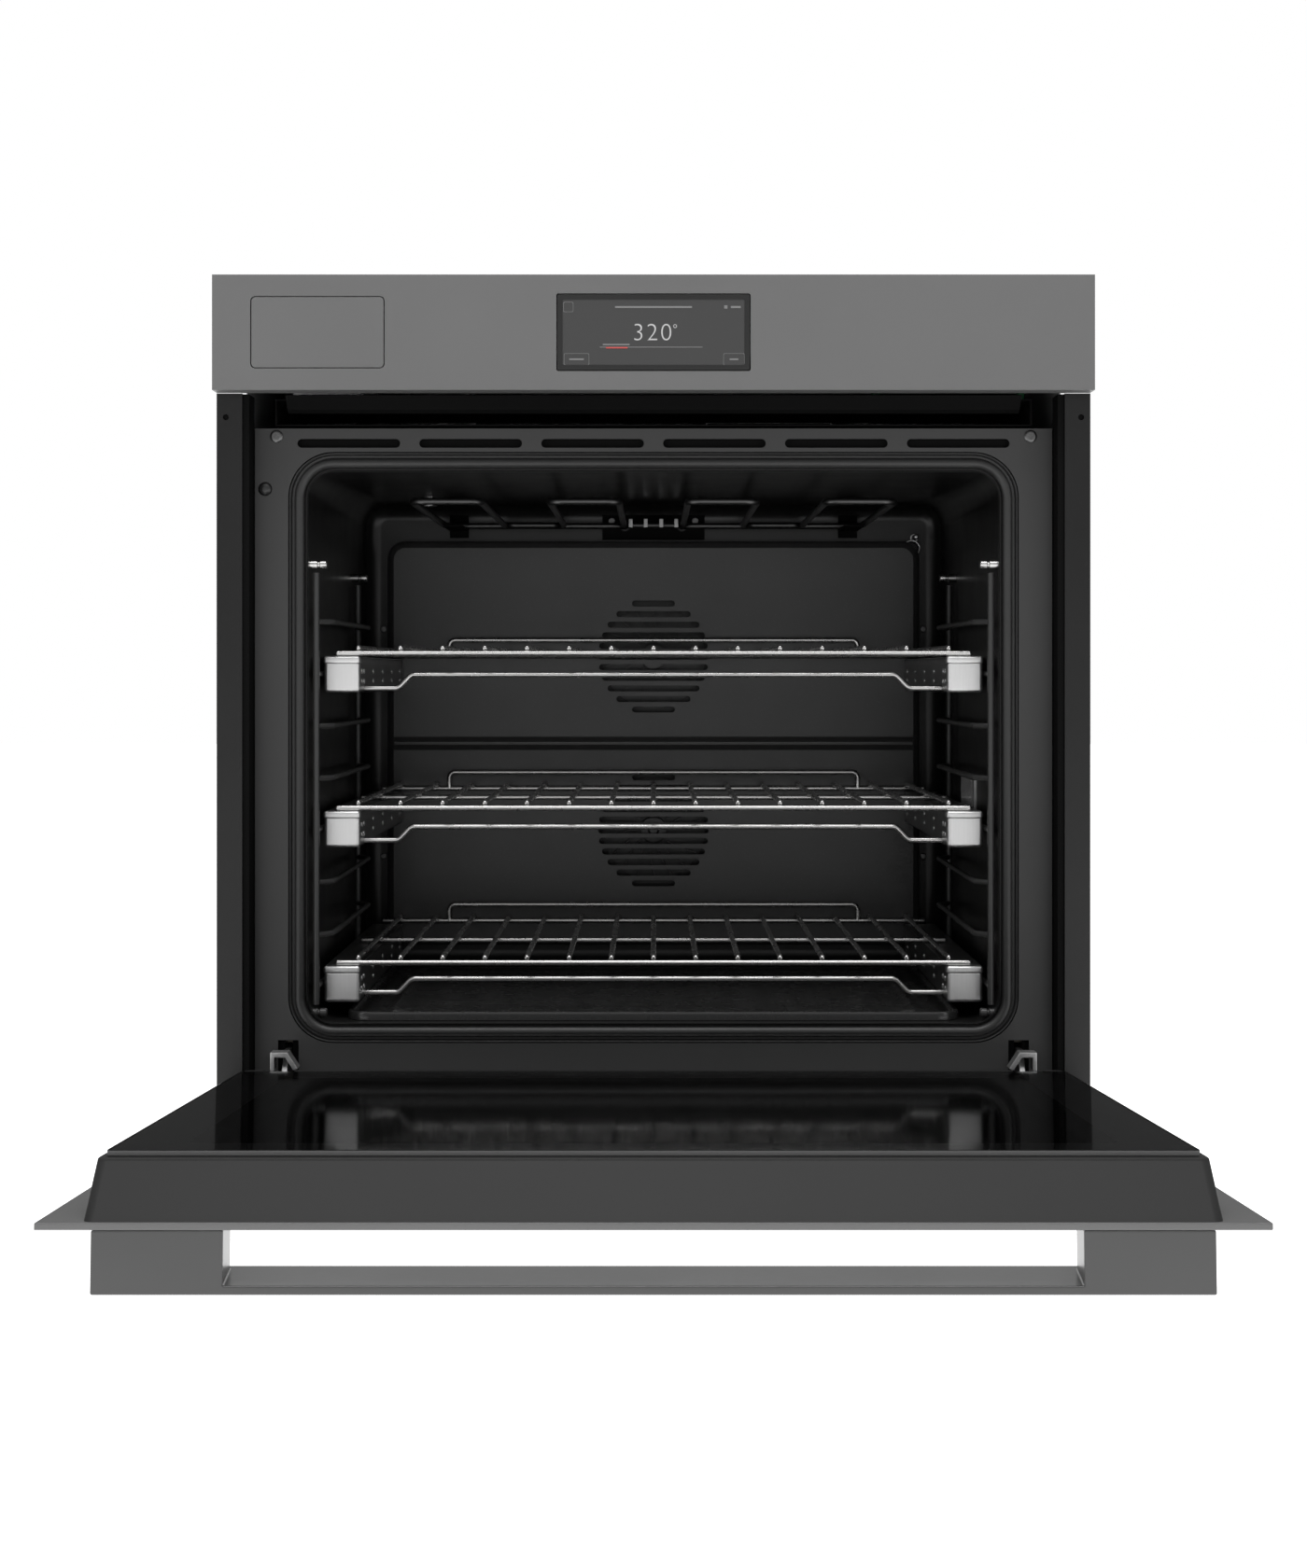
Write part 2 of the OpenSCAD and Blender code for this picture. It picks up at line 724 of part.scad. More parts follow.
module floor_tray() {
    z0 = cavity_floor;
    color("dimgray") difference() {
        block([-cavity_hw + 31, frame_y + 16, z0], [cavity_hw - 31, back_y - 30, z0 + 8]);
        block([-cavity_hw + 33, frame_y + 18, z0 + 4], [cavity_hw - 33, back_y - 32, z0 + 9]);
    }
}

module lamp_housing() {
    x0 = cavity_hw + liner_t;
    color("silver") difference() {
        block([x0, lens_y - 3, lens_z - 3], [x0 + 24, lens_y + lens_w + 3, lens_z + lens_h + 3]);
        block([x0 - 1, lens_y, lens_z], [x0 + 22, lens_y + lens_w, lens_z + lens_h]);
    }
}

module lamp_lens() {
    color("white", 0.5) block([cavity_hw - 2.8, lens_y + 0.3, lens_z + 0.3],
        [cavity_hw + 5, lens_y + lens_w - 0.3, lens_z + lens_h - 0.3]);
}

module lamp_bulb() {
    color("white") translate([cavity_hw + 14, lens_y + 2, lens_z + lens_h / 2]) rotate([-90, 0, 0]) {
        cylinder(r = 5, h = 12);
        cylinder(r = 6, h = 5);
        translate([0, 0, 12]) cylinder(r = 6.5, h = 28);
    }
}

// ---- shelves ----

module shelf_ladders() {
    z0 = level_z(0) - 18;
    color("silver") mirrored() {
        for (y = [ladder_y0, ladder_y1]) wire([post_x, y, z0], [post_x, y, stud_z + 6], post_d);
        for (i = [0 : levels - 1]) {
            z = level_z(i);
            slide = i == 0 || i == level_step || i == 2 * level_step;
            x = slide ? post_x : jog_x;
            if (slide) wire([post_x, ladder_y0, z], [post_x, ladder_y1, z], wire_d);
            if (!slide) bent_wire([[post_x, ladder_y0, z], [x, ladder_y0 + 16, z],
                [x, ladder_y1 - 16, z], [post_x, ladder_y1, z]], wire_d);
        }
    }
}

// Studs that end on the cavity's walls, the lower ones in its round corners
module ladder_studs() {
    color("silver") intersection() {
        mirrored() for (y = [ladder_y0, ladder_y1], z = [stud_z + 10.2, level_z(0) - 22.2])
            translate([cavity_hw, y, z]) rotate([0, -90, 0]) {
                cylinder(r = 4, h = 9);
                translate([0, 0, 9]) cylinder(r = 7, h = 3);
            }
        along_y(frame_y, back_y) mouth(0);
    }
}

function shelf_level(k) = level_z(k * level_step);

// Rails that the ladders carry, one pair at each shelf
module slide_rails() {
    color("darkgray") mirrored() for (k = [0 : 2]) {
        z = shelf_level(k);
        block([slide_x1 - 6, slide_y0 + 7, z - 11], [slide_x1, slide_y0 + 365, z + 11]);
        for (y = [slide_y0 + 30, slide_y0 + 250])
            block([slide_x1, y, z - 6], [post_x - wire_d / 2, y + 14, z + 6]);
    }
}

module slide_middle(k) {
    z = shelf_level(k);
    color("gray") mirrored()
        block([slide_x0 + 14, slide_y0 + 8, z - 9], [slide_x1 - 6 - fit, slide_y0 + 360, z + 9]);
}

// The member that carries the shelf: web, top plate, front block and the cross wire
module slide_carriage(k) {
    z = shelf_level(k);
    zt = z + slide_top;
    zb = zt - slide_h;
    y0 = slide_y0 - 1;
    wy = slide_y0 + 43;
    wz = z - 13;
    color("silver") {
        mirrored() {
            difference() {
                block([slide_x0, y0, zb], [slide_x1, y0 + 7, zt]);
                block([slide_x0 + 11, y0 + 2, zb + 4], [slide_x1 - 4, y0 + 8, zt - 4]);
            }
            block([slide_x0, y0 + 6.5, zb], [slide_x0 + 12 - fit, slide_y0 + 369, zt - 2]);
            block([slide_x0, y0 + 6.5, zt - 3], [slide_x1, slide_y0 + 369, zt]);
        }
        bent_wire([[-slide_x0 - 5, wy, wz], [-slide_x0 + 30, wy, wz], [-slide_x0 + 42, wy, z - 0.7],
            [slide_x0 - 42, wy, z - 0.7], [slide_x0 - 30, wy, wz], [slide_x0 + 5, wy, wz]], wire_d);
    }
}

module shelf(k) {
    z = shelf_level(k) + slide_top + wire_d / 2;
    n = floor((shelf_hw - 12) / wire_pitch);
    hoop = n * wire_pitch - 50;
    color("silver") {
        for (y = [shelf_y0, (shelf_y0 + shelf_y1) / 2, shelf_y1])
            wire([-shelf_hw, y, z], [shelf_hw, y, z], wire_d);
        for (i = [-n : n]) wire([i * wire_pitch, shelf_y0 - 1, z + wire_d - 0.4],
            [i * wire_pitch, shelf_y1 + 1, z + wire_d - 0.4], wire_d);
        bent_wire([[-hoop, shelf_y1, z], [-hoop, shelf_y1, z + 16.8], [hoop, shelf_y1, z + 16.8],
            [hoop, shelf_y1, z]], wire_d);
    }
}

// ---- door switch, hinges and fasteners ----

module door_switch() {
    color("black") translate([-plunger_x, frame_y + frame_t, plunger_z]) rotate([-90, 0, 0])
        difference() {
            translate([0, 0, 2]) cylinder(r = 8, h = 26);
            translate([0, 0, 0]) cylinder(r = plunger_r - 1.5 + run, h = 24);
        }
}

module switch_plunger() {
    color("black") translate([-plunger_x, frame_y - 2.9, plunger_z]) rotate([-90, 0, 0]) {
        cylinder(r1 = plunger_r - 1.6, r2 = plunger_r, h = 1.6);
        translate([0, 0, 1.6]) cylinder(r = plunger_r, h = 1.9);
        translate([0, 0, 3.5]) cylinder(r = plunger_r - 1.5, h = 19);
    }
}

// Steel arms that come through the frame and hold the hinge pins
module hinge_brackets() {
    color("lightgray") mirrored() {
        along_x(hinge_x - arm_t / 2, hinge_x + arm_t / 2) {
            polygon([[-hinge_out, hinge_z + eye_r], [frame_y - 10, hinge_z + 40],
                [frame_y + 70, hinge_z + 40], [frame_y + 70, hinge_z + 12],
                [frame_y - 4, hinge_z + 12], [3 - hinge_out, hinge_z - 0.8 * eye_r]]);
            translate([-hinge_out, hinge_z]) circle(eye_r);
        }
        translate([hinge_x - pocket_hw, -hinge_out, hinge_z]) rotate([0, 90, 0])
            cylinder(r = pin_r, h = 2 * pocket_hw);
    }
}
pocket_hw = 13;                        // half the width of the door's hinge pockets

module door_hinge_arms() {
    color("lightgray") opened() mirrored() for (s = [-1, 1]) difference() {
        along_x(hinge_x + s * (pocket_hw - 2) - 2, hinge_x + s * (pocket_hw - 2) + 2) {
            translate([-hinge_out, hinge_z]) circle(-hinge_out - plate_y);
            translate([plate_y, hinge_z]) square([12, 100]);
        }
        translate([hinge_x - 20, -hinge_out, hinge_z]) rotate([0, 90, 0])
            cylinder(r = pin_r + run, h = 40);
    }
}

module fixing_screws() {
    color("silver") {
        mirrored() screw_y(screw_x, frame_y, frame_top - 7, 11, 8);
        for (x = [-44, 44]) screw_y(x, back_y - 1.5, element_z + 6, 8, 3);
        for (x = [-205, 205]) screw_y(x, back_y - 1.5, element_z + 5, 8, 3);
        for (x = [-cover_hw - 6, cover_hw + 6], z = [cover_mid - 120, cover_mid + 120])
            screw_y(x, back_y, z, 7, 1);
    }
}

// ---- door, drawn closed and turned to where it stands open ----

module door_plate() {
    g = front_lap + 0.3;
    color("gray") opened() difference() {
        block([-half_w, -panel_d, door_lift], [half_w, plate_y, door_top]);
        along_y(-panel_d - 1, plate_y + 1) rounded([-window_hw - g, window_z0 - g],
            [window_hw + g, window_z1 + g], 6);
    }
}
front_lap = 8;                         // the front pane's lap over the body

// Sheet steel channel round the window, open towards the front plate
module door_body() {
    y1 = inner_y - glass_t;
    t = 1.5;
    z0 = hinge_z + 14;
    z1 = door_top - 3;
    color("dimgray") opened() difference() {
        along_x(-door_hw, door_hw) polygon([[plate_y, z0], [plate_y, z1],
            [y1, z1 - (y1 - plate_y)], [y1, z0]]);
        difference() {
            along_x(-door_hw + t, door_hw - t) polygon([[plate_y - 1, z0 + t], [plate_y - 1, z1 - t],
                [plate_y, z1 - t], [y1 - t, z1 - (y1 - plate_y)], [y1 - t, z0 + t]]);
            along_y(plate_y - 2, y1 + 1) rounded([-window_hw - t, window_z0 - t],
                [window_hw + t, window_z1 + t], 10 + t);
        }
        along_y(plate_y - 1, y1 + 1) rounded([-window_hw, window_z0], [window_hw, window_z1], 10);
        mirrored() block([hinge_x - pocket_hw - 0.5, plate_y - 1, hinge_z],
            [hinge_x + pocket_hw + 0.5, y1 + 1, hinge_z + 102]);
    }
}

module door_glass() {
    y1 = inner_y - glass_t;
    mid = (plate_y + y1) / 2;
    color("black", 0.5) opened() {
        along_y(y1, inner_y) rounded([-pane_hw, pane_z0], [pane_hw, pane_z1], 4);
        along_y(-panel_d, plate_y) rounded([-window_hw - front_lap, window_z0 - front_lap],
            [window_hw + front_lap, window_z1 + front_lap], 5.7);
        along_y(mid - glass_t / 2, mid + glass_t / 2)
            rounded([-window_hw, window_z0], [window_hw, window_z1], 10);
    }
}

module door_handle() {
    y0 = -panel_d - grip_gap;
    color("lightgray") opened() {
        block([-handle_hw, y0 - grip_t, door_top - grip_w], [handle_hw, y0, door_top]);
        mirrored() block([handle_hw - post_w, y0, door_top - grip_w + 12],
            [handle_hw, -panel_d, door_top]);
    }
}

base_pan();
side_panels();
back_panel();
top_cover();
front_frame();
side_trims();
control_panel_fascia();
touch_screen();
display_module();
control_board();
service_deck();
tank_sleeve();
tank_flap();
water_tank();
tank_lid();
water_pump();
steam_generator();
steam_pipe();
cooling_duct();
blower_housing();
blower_rotor();
blower_motor();
cavity_liner();
insulation();
door_seal();
fan_cover();
fan_rotor(fan_z[0]);  // fan_rotor_upper
fan_rotor(fan_z[1]);  // fan_rotor_lower
fan_motors();
ring_elements();
grill_element();
grill_brackets();
bottom_element();
temperature_probe();
floor_tray();
lamp_housing();
lamp_lens();
lamp_bulb();
shelf_ladders();
ladder_studs();
slide_rails();
slide_middle(2);  // slide_middle_top
slide_middle(1);  // slide_middle_centre
slide_middle(0);  // slide_middle_bottom
slide_carriage(2);  // slide_carriage_top
slide_carriage(1);  // slide_carriage_centre
slide_carriage(0);  // slide_carriage_bottom
shelf(2);  // shelf_top
shelf(1);  // shelf_centre
shelf(0);  // shelf_bottom
door_switch();
switch_plunger();
hinge_brackets();
terminal_block();
fixing_screws();
door_plate();
door_body();
door_glass();
door_hinge_arms();
door_handle();
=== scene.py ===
import bmesh
import bpy
import json
import math
from mathutils import Matrix, Vector

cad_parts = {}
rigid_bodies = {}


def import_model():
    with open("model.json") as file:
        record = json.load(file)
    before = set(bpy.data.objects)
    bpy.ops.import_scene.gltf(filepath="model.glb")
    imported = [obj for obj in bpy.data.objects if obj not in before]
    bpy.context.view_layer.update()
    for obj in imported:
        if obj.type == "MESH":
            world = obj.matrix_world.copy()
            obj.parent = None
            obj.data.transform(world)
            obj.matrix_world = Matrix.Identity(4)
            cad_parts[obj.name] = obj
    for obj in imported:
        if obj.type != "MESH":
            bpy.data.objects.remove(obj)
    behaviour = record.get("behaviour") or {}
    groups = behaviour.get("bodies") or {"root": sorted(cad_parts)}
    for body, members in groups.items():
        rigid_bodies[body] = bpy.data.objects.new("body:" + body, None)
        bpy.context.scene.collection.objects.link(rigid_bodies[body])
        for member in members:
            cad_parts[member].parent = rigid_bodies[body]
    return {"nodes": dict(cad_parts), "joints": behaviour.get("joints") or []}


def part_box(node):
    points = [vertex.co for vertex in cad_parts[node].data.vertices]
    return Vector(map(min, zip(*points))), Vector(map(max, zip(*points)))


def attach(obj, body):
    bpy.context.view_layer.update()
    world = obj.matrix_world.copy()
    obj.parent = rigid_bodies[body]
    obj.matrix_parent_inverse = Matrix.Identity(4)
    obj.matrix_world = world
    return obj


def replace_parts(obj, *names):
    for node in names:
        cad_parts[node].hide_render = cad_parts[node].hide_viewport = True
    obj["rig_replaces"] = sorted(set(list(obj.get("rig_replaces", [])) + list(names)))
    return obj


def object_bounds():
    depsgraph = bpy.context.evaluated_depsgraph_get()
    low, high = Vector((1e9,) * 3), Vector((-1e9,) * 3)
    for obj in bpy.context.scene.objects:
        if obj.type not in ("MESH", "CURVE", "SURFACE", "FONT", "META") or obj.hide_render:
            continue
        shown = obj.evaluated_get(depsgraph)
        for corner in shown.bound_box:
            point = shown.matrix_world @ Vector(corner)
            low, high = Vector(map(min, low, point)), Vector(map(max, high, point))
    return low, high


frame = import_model()
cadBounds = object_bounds()
scene = bpy.context.scene
scene.view_settings.view_transform = "Standard"


# where things are, from the frame

def corners(node):
    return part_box(node)


def jointOf(name):
    return next(j for j in frame["joints"] if j["name"] == name)


doorJoint = jointOf("door_hinge")
doorPivot = Vector(doorJoint["pos_m"])
doorTurn = (Matrix.Translation(doorPivot)
            @ Matrix.Rotation(math.radians(doorJoint["range_deg"][1]), 4, "X")
            @ Matrix.Translation(-doorPivot))


def closedCorners(node):
    # corners of a door node with the door shut, where its faces are square to the axes
    back = doorTurn.inverted()
    points = [back @ v.co for v in frame["nodes"][node].data.vertices]
    low = Vector(min(p[i] for p in points) for i in range(3))
    high = Vector(max(p[i] for p in points) for i in range(3))
    return low, high


# shader building

class Signal:
    # a shader socket that can be added, scaled and compared in an expression
    def __init__(self, shader, socket):
        self.shader = shader
        self.socket = socket

    def math(self, operation, first, second=0.0):
        return self.shader.node("ShaderNodeMath", {"operation": operation}, {0: first, 1: second})

    def __add__(self, other):
        return self.math("ADD", self, other)

    __radd__ = __add__

    def __sub__(self, other):
        return self.math("SUBTRACT", self, other)

    def __rsub__(self, other):
        return self.math("SUBTRACT", other, self)

    def __mul__(self, other):
        return self.math("MULTIPLY", self, other)

    __rmul__ = __mul__

    def __gt__(self, other):
        return self.math("GREATER_THAN", self, other)

    def __lt__(self, other):
        return self.math("LESS_THAN", self, other)

    def sine(self):
        return self.math("SINE", self)


class Shader:
    def __init__(self, name):
        self.material = bpy.data.materials.new(name)
        self.material.use_nodes = True
        self.tree = self.material.node_tree
        self.tree.nodes.clear()

    def node(self, kind, settings=None, inputs=None, output=0):
        made = self.tree.nodes.new(kind)
        for key, value in (settings or {}).items():
            if key == "stops":
                self.setStops(made, value)
            else:
                setattr(made, key, value)
        for key, value in (inputs or {}).items():
            if isinstance(value, Signal):
                self.tree.links.new(value.socket, made.inputs[key])
            else:
                made.inputs[key].default_value = value
        return Signal(self, made.outputs[output])

    def setStops(self, ramp, stops):
        elements = ramp.color_ramp.elements
        while len(elements) < len(stops):
            elements.new(0.5)
        for element, (place, colour) in zip(elements, stops):
            element.position = place
            element.color = colour

    def place(self, scale=(1, 1, 1)):
        where = self.node("ShaderNodeTexCoord", output="Object")
        return self.node("ShaderNodeMapping", {}, {"Vector": where, "Scale": scale})

    def axes(self):
        where = self.node("ShaderNodeTexCoord", output="Object")
        split = self.node("ShaderNodeSeparateXYZ", {}, {"Vector": where})
        outputs = split.socket.node.outputs
        return [Signal(self, outputs[i]) for i in range(3)]

    def noise(self, scale, detail=3.0, stretch=(1, 1, 1)):
        return self.node("ShaderNodeTexNoise", {},
                         {"Vector": self.place(stretch), "Scale": scale, "Detail": detail})

    def cells(self, scale, output="Distance"):
        return self.node("ShaderNodeTexVoronoi", {"feature": "F1"},
                         {"Vector": self.place(), "Scale": scale}, output)

    def blend(self, mask, dark, light):
        # between two colours by a mask
        return self.node("ShaderNodeMix", {"data_type": "RGBA"}, {0: mask, 6: dark, 7: light}, output=2)

    def bump(self, height, strength, distance):
        return self.node("ShaderNodeBump", {},
                         {"Height": height, "Strength": strength, "Distance": distance})

    def surface(self, values):
        return self.node("ShaderNodeBsdfPrincipled", {}, values)

    def finish(self, shade):
        sink = self.tree.nodes.new("ShaderNodeOutputMaterial")
        self.tree.links.new(shade.socket, sink.inputs["Surface"])
        return self.material


def grey(value, tint=(1.0, 1.0, 1.0)):
    return (value * tint[0], value * tint[1], value * tint[2], 1.0)


# finishes

def satinPaint(name, s):
    # fine paint or anodised layer: close colours, a soft sheen and a grain felt only in the light
    m = Shader(name)
    mottle = m.noise(9.0, 4.0)
    grain = m.noise(s.get("grain", 1800.0), 2.0, s.get("stretch", (1, 1, 1)))
    tone = m.blend(mottle, grey(s["dark"]), grey(s["light"]))
    return m.finish(m.surface({
        "Base Color": tone,
        "Metallic": s.get("metallic", 0.0),
        "Roughness": s["rough"] - 0.05 + 0.1 * (0.5 * mottle + 0.5 * grain),
        "Specular IOR Level": s.get("specular", 0.5),
        "Normal": m.bump(grain, s.get("bump", 0.15), 0.0002),
    }))


def brushedMetal(name, s):
    # drawn or brushed metal: fine lines along one axis over a faint stain
    m = Shader(name)
    lines = m.noise(900.0, 3.0, s.get("stretch", (0.03, 1, 1)))
    stain = m.noise(14.0, 4.0)
    wear = m.noise(90.0, 5.0) > 0.66
    tone = m.blend(0.6 * lines + 0.4 * stain, grey(s["dark"]), grey(s["light"]))
    return m.finish(m.surface({
        "Base Color": tone,
        "Metallic": 1.0,
        "Roughness": s["rough"] + 0.12 * lines - 0.04 * wear,
        "Normal": m.bump(lines, 0.25, 0.0002),
    }))


def platedWire(name, s):
    # bright nickel plating with drawn lines and faint heat tint
    m = Shader(name)
    heat = m.noise(22.0, 4.0)
    pits = m.noise(1400.0, 2.0)
    tone = m.blend(heat, grey(s["dark"], (1.0, 0.98, 0.95)), grey(s["light"]))
    return m.finish(m.surface({
        "Base Color": tone,
        "Metallic": 1.0,
        "Roughness": s["rough"] + 0.1 * heat,
        "Normal": m.bump(pits, 0.12, 0.0001),
    }))


def enamel(name, s):
    # fired enamel: near black with pale specks, a wavy gloss and small pits
    m = Shader(name)
    specks = m.cells(420.0) < 0.16
    spread = m.noise(260.0, 2.0) > 0.5
    wave = m.noise(26.0, 3.0)
    skin = m.noise(600.0, 2.0)
    tone = m.blend(specks * spread, grey(s["dark"]), grey(s["speck"]))
    return m.finish(m.surface({
        "Base Color": tone,
        "Roughness": s["rough"] + 0.1 * wave,
        "Specular IOR Level": s.get("specular", 0.5),
        "Coat Weight": s["coat"],
        "Coat Roughness": 0.12,
        "Normal": m.bump(wave + 0.15 * skin, 0.12, 0.0012),
    }))


def zincSheet(name, s):
    # zinc-coated sheet: spangles of slightly different tone and gloss
    m = Shader(name)
    tone = m.node("ShaderNodeSeparateColor", {}, {"Color": m.cells(95.0, "Color")})
    streak = m.noise(60.0, 4.0, (1, 1, 0.1))
    return m.finish(m.surface({
        "Base Color": m.blend(0.6 * tone + 0.4 * streak, grey(s["dark"], (0.98, 1.0, 1.02)),
                              grey(s["light"], (0.99, 1.0, 1.01))),
        "Metallic": 0.85,
        "Roughness": s["rough"] + 0.14 * tone,
        "Normal": m.bump(streak, 0.08, 0.0004),
    }))


def moulded(name, s):
    # moulded plastic or rubber: even colour and a fine spark-eroded texture
    m = Shader(name)
    texture = m.noise(s.get("texture", 1500.0), 2.0)
    flow = m.noise(18.0, 3.0)
    tint = s.get("tint", (1, 1, 1))
    return m.finish(m.surface({
        "Base Color": m.blend(flow, grey(s["dark"], tint), grey(s["light"], tint)),
        "Roughness": s["rough"] + 0.08 * texture,
        "Alpha": s.get("alpha", 1.0),
        "Normal": m.bump(texture, s.get("bump", 0.3), 0.0003),
    }))


def clearGlass(name, s):
    # float glass with a faint tint and the slight waviness of a tempered pane
    m = Shader(name)
    wave = m.noise(7.0, 2.0)
    smear = m.noise(30.0, 4.0)
    return m.finish(m.surface({
        "Base Color": m.blend(wave, grey(s["dark"]), grey(s["light"])),
        "Roughness": s["rough"] + 0.03 * smear,
        "Transmission Weight": s["clear"],
        "Specular IOR Level": s.get("specular", 0.5),
        "IOR": s.get("index", 1.5),
        "Normal": m.bump(wave, 0.03, 0.001),
    }))


def circuitBoard(name, s):
    # lacquered board: crossing tracks that show through the lacquer
    m = Shader(name)
    x, y, z = m.axes()
    tracks = (x * 1400.0).sine() * (y * 900.0).sine() > 0.3
    flux = m.noise(80.0, 3.0)
    return m.finish(m.surface({
        "Base Color": m.blend(tracks, s["lacquer"], s["track"]),
        "Roughness": 0.35 + 0.2 * flux,
        "Normal": m.bump(tracks, 0.2, 0.0003),
    }))


def mineralWool(name, s):
    # matted fibres in loose clumps
    m = Shader(name)
    fibre = m.noise(340.0, 6.0, (1, 1, 0.25))
    clump = m.noise(35.0, 4.0)
    return m.finish(m.surface({
        "Base Color": m.blend(0.5 * fibre + 0.5 * clump, s["deep"], s["fibre"]),
        "Roughness": 0.9 + 0.1 * clump,
        "Normal": m.bump(fibre, 0.9, 0.002),
    }))


def litGraphic(name, s):
    # printed light of the display: even glow that fades a little between the lamps behind it
    m = Shader(name)
    haze = m.noise(160.0, 2.0)
    faded = tuple(0.85 * c for c in s["colour"][:3]) + (1.0,)
    return m.finish(m.surface({
        "Base Color": m.blend(haze, s["colour"], s["colour"]),
        "Roughness": 0.3 + 0.05 * haze,
        "Emission Color": m.blend(haze, s["colour"], faded),
        "Emission Strength": s["glow"],
    }))


def seamlessPaper(name, s):
    # white paper lit from behind as well, so it blends with the backdrop
    m = Shader(name)
    fibre = m.noise(3.0, 2.0)
    tone = m.blend(fibre, grey(s["light"] * 0.99), grey(s["light"]))
    return m.finish(m.surface({"Base Color": tone, "Roughness": 0.9,
                               "Emission Color": tone, "Emission Strength": s["glow"]}))


finishes = {
    "frontPanelPaint": (satinPaint, {"dark": 0.130, "light": 0.146, "rough": 0.45, "metallic": 0.3,
                                     "grain": 2200.0, "bump": 0.1}),
    # handle grey kept far darker than the front's grey: painted shade from the door plate above it
    "handleAnodised": (satinPaint, {"dark": 0.045, "light": 0.052, "rough": 0.30, "metallic": 0.2,
                                    "specular": 0.8, "stretch": (0.05, 1, 1), "bump": 0.03}),
    "trimPaint": (satinPaint, {"dark": 0.026, "light": 0.031, "rough": 0.3, "metallic": 0.9}),
    "frameEnamel": (satinPaint, {"dark": 0.040, "light": 0.047, "rough": 0.42, "bump": 0.1,
                                 "specular": 0.25}),
    "doorBodyPaint": (satinPaint, {"dark": 0.017, "light": 0.020, "rough": 0.5, "specular": 0.2}),
    # near-black sheet for black parts, and painted shade: strips, sheets and plugs set in gaps, slots, holes
    # and pockets
    "blackSheet": (satinPaint, {"dark": 0.002, "light": 0.003, "rough": 0.75, "specular": 0.08}),
    "cavityEnamel": (enamel, {"dark": 0.008, "speck": 0.020, "rough": 0.26, "coat": 0.0,
                              "specular": 0.35}),
    "coverEnamel": (enamel, {"dark": 0.036, "speck": 0.06, "rough": 0.36, "coat": 0.1}),
    "trayEnamel": (enamel, {"dark": 0.018, "speck": 0.04, "rough": 0.22, "coat": 0.4}),
    "zincSheet": (zincSheet, {"dark": 0.26, "light": 0.38, "rough": 0.34}),
    "platedWire": (platedWire, {"dark": 0.50, "light": 0.64, "rough": 0.22}),
    "ladderWire": (satinPaint, {"dark": 0.030, "light": 0.040, "rough": 0.3, "specular": 0.4}),
    "satinSteel": (brushedMetal, {"dark": 0.60, "light": 0.74, "rough": 0.34, "stretch": (1, 1, 0.05)}),
    "slideSteel": (brushedMetal, {"dark": 0.22, "light": 0.34, "rough": 0.3, "stretch": (1, 0.03, 1)}),
    "hingeSteel": (brushedMetal, {"dark": 0.18, "light": 0.26, "rough": 0.28, "stretch": (1, 0.05, 1)}),
    "rodSteel": (brushedMetal, {"dark": 0.06, "light": 0.10, "rough": 0.34}),
    "motorSteel": (brushedMetal, {"dark": 0.35, "light": 0.5, "rough": 0.3, "stretch": (1, 0.05, 1)}),
    # rotor metal darkened far below bare aluminium: painted shade of the fans behind the cover
    "rotorAluminium": (brushedMetal, {"dark": 0.05, "light": 0.09, "rough": 0.42, "stretch": (1, 1, 1)}),
    "screwSteel": (brushedMetal, {"dark": 0.10, "light": 0.16, "rough": 0.3, "stretch": (1, 1, 1)}),
    "screenGlass": (clearGlass, {"dark": 0.048, "light": 0.054, "rough": 0.25, "clear": 0.0,
                                 "specular": 0.25}),
    "screenBezel": (satinPaint, {"dark": 0.020, "light": 0.024, "rough": 0.3, "specular": 0.2}),
    "doorGlass": (clearGlass, {"dark": 0.20, "light": 0.24, "rough": 0.05, "clear": 1.0,
                               "specular": 0.2, "index": 1.05}),
    "frontGlass": (clearGlass, {"dark": 0.008, "light": 0.011, "rough": 0.06, "clear": 0.0}),
    # ground glass edge grey, lightened as a painted highlight along the pane's top
    "groundEdge": (satinPaint, {"dark": 0.085, "light": 0.10, "rough": 0.4, "specular": 0.4}),
    "glassPrint": (satinPaint, {"dark": 0.008, "light": 0.010, "rough": 0.3}),
    "lensGlass": (clearGlass, {"dark": 0.8, "light": 0.9, "rough": 0.08, "clear": 0.75}),
    "bulbGlass": (moulded, {"dark": 0.75, "light": 0.85, "rough": 0.2}),
    "sealRubber": (moulded, {"dark": 0.014, "light": 0.020, "rough": 0.42, "texture": 700.0}),
    "blackPlastic": (moulded, {"dark": 0.012, "light": 0.018, "rough": 0.3}),
    "whitePlastic": (moulded, {"dark": 0.66, "light": 0.72, "rough": 0.4}),
    "tankPlastic": (moulded, {"dark": 0.62, "light": 0.72, "rough": 0.12, "alpha": 0.55,
                              "tint": (0.9, 0.97, 1.0), "bump": 0.05}),
    "boardLacquer": (circuitBoard, {"lacquer": (0.01, 0.09, 0.03, 1), "track": (0.03, 0.2, 0.07, 1)}),
    "mineralWool": (mineralWool, {"deep": (0.05, 0.045, 0.035, 1), "fibre": (0.13, 0.12, 0.10, 1)}),
    "displayWhite": (litGraphic, {"colour": (0.4, 0.4, 0.4, 1.0), "glow": 0.3}),
    "displayDim": (litGraphic, {"colour": (0.16, 0.16, 0.16, 1.0), "glow": 0.12}),
    "displayRed": (litGraphic, {"colour": (0.38, 0.05, 0.045, 1.0), "glow": 0.3}),
    "paper": (seamlessPaper, {"light": 0.92, "glow": 1.2}),
}
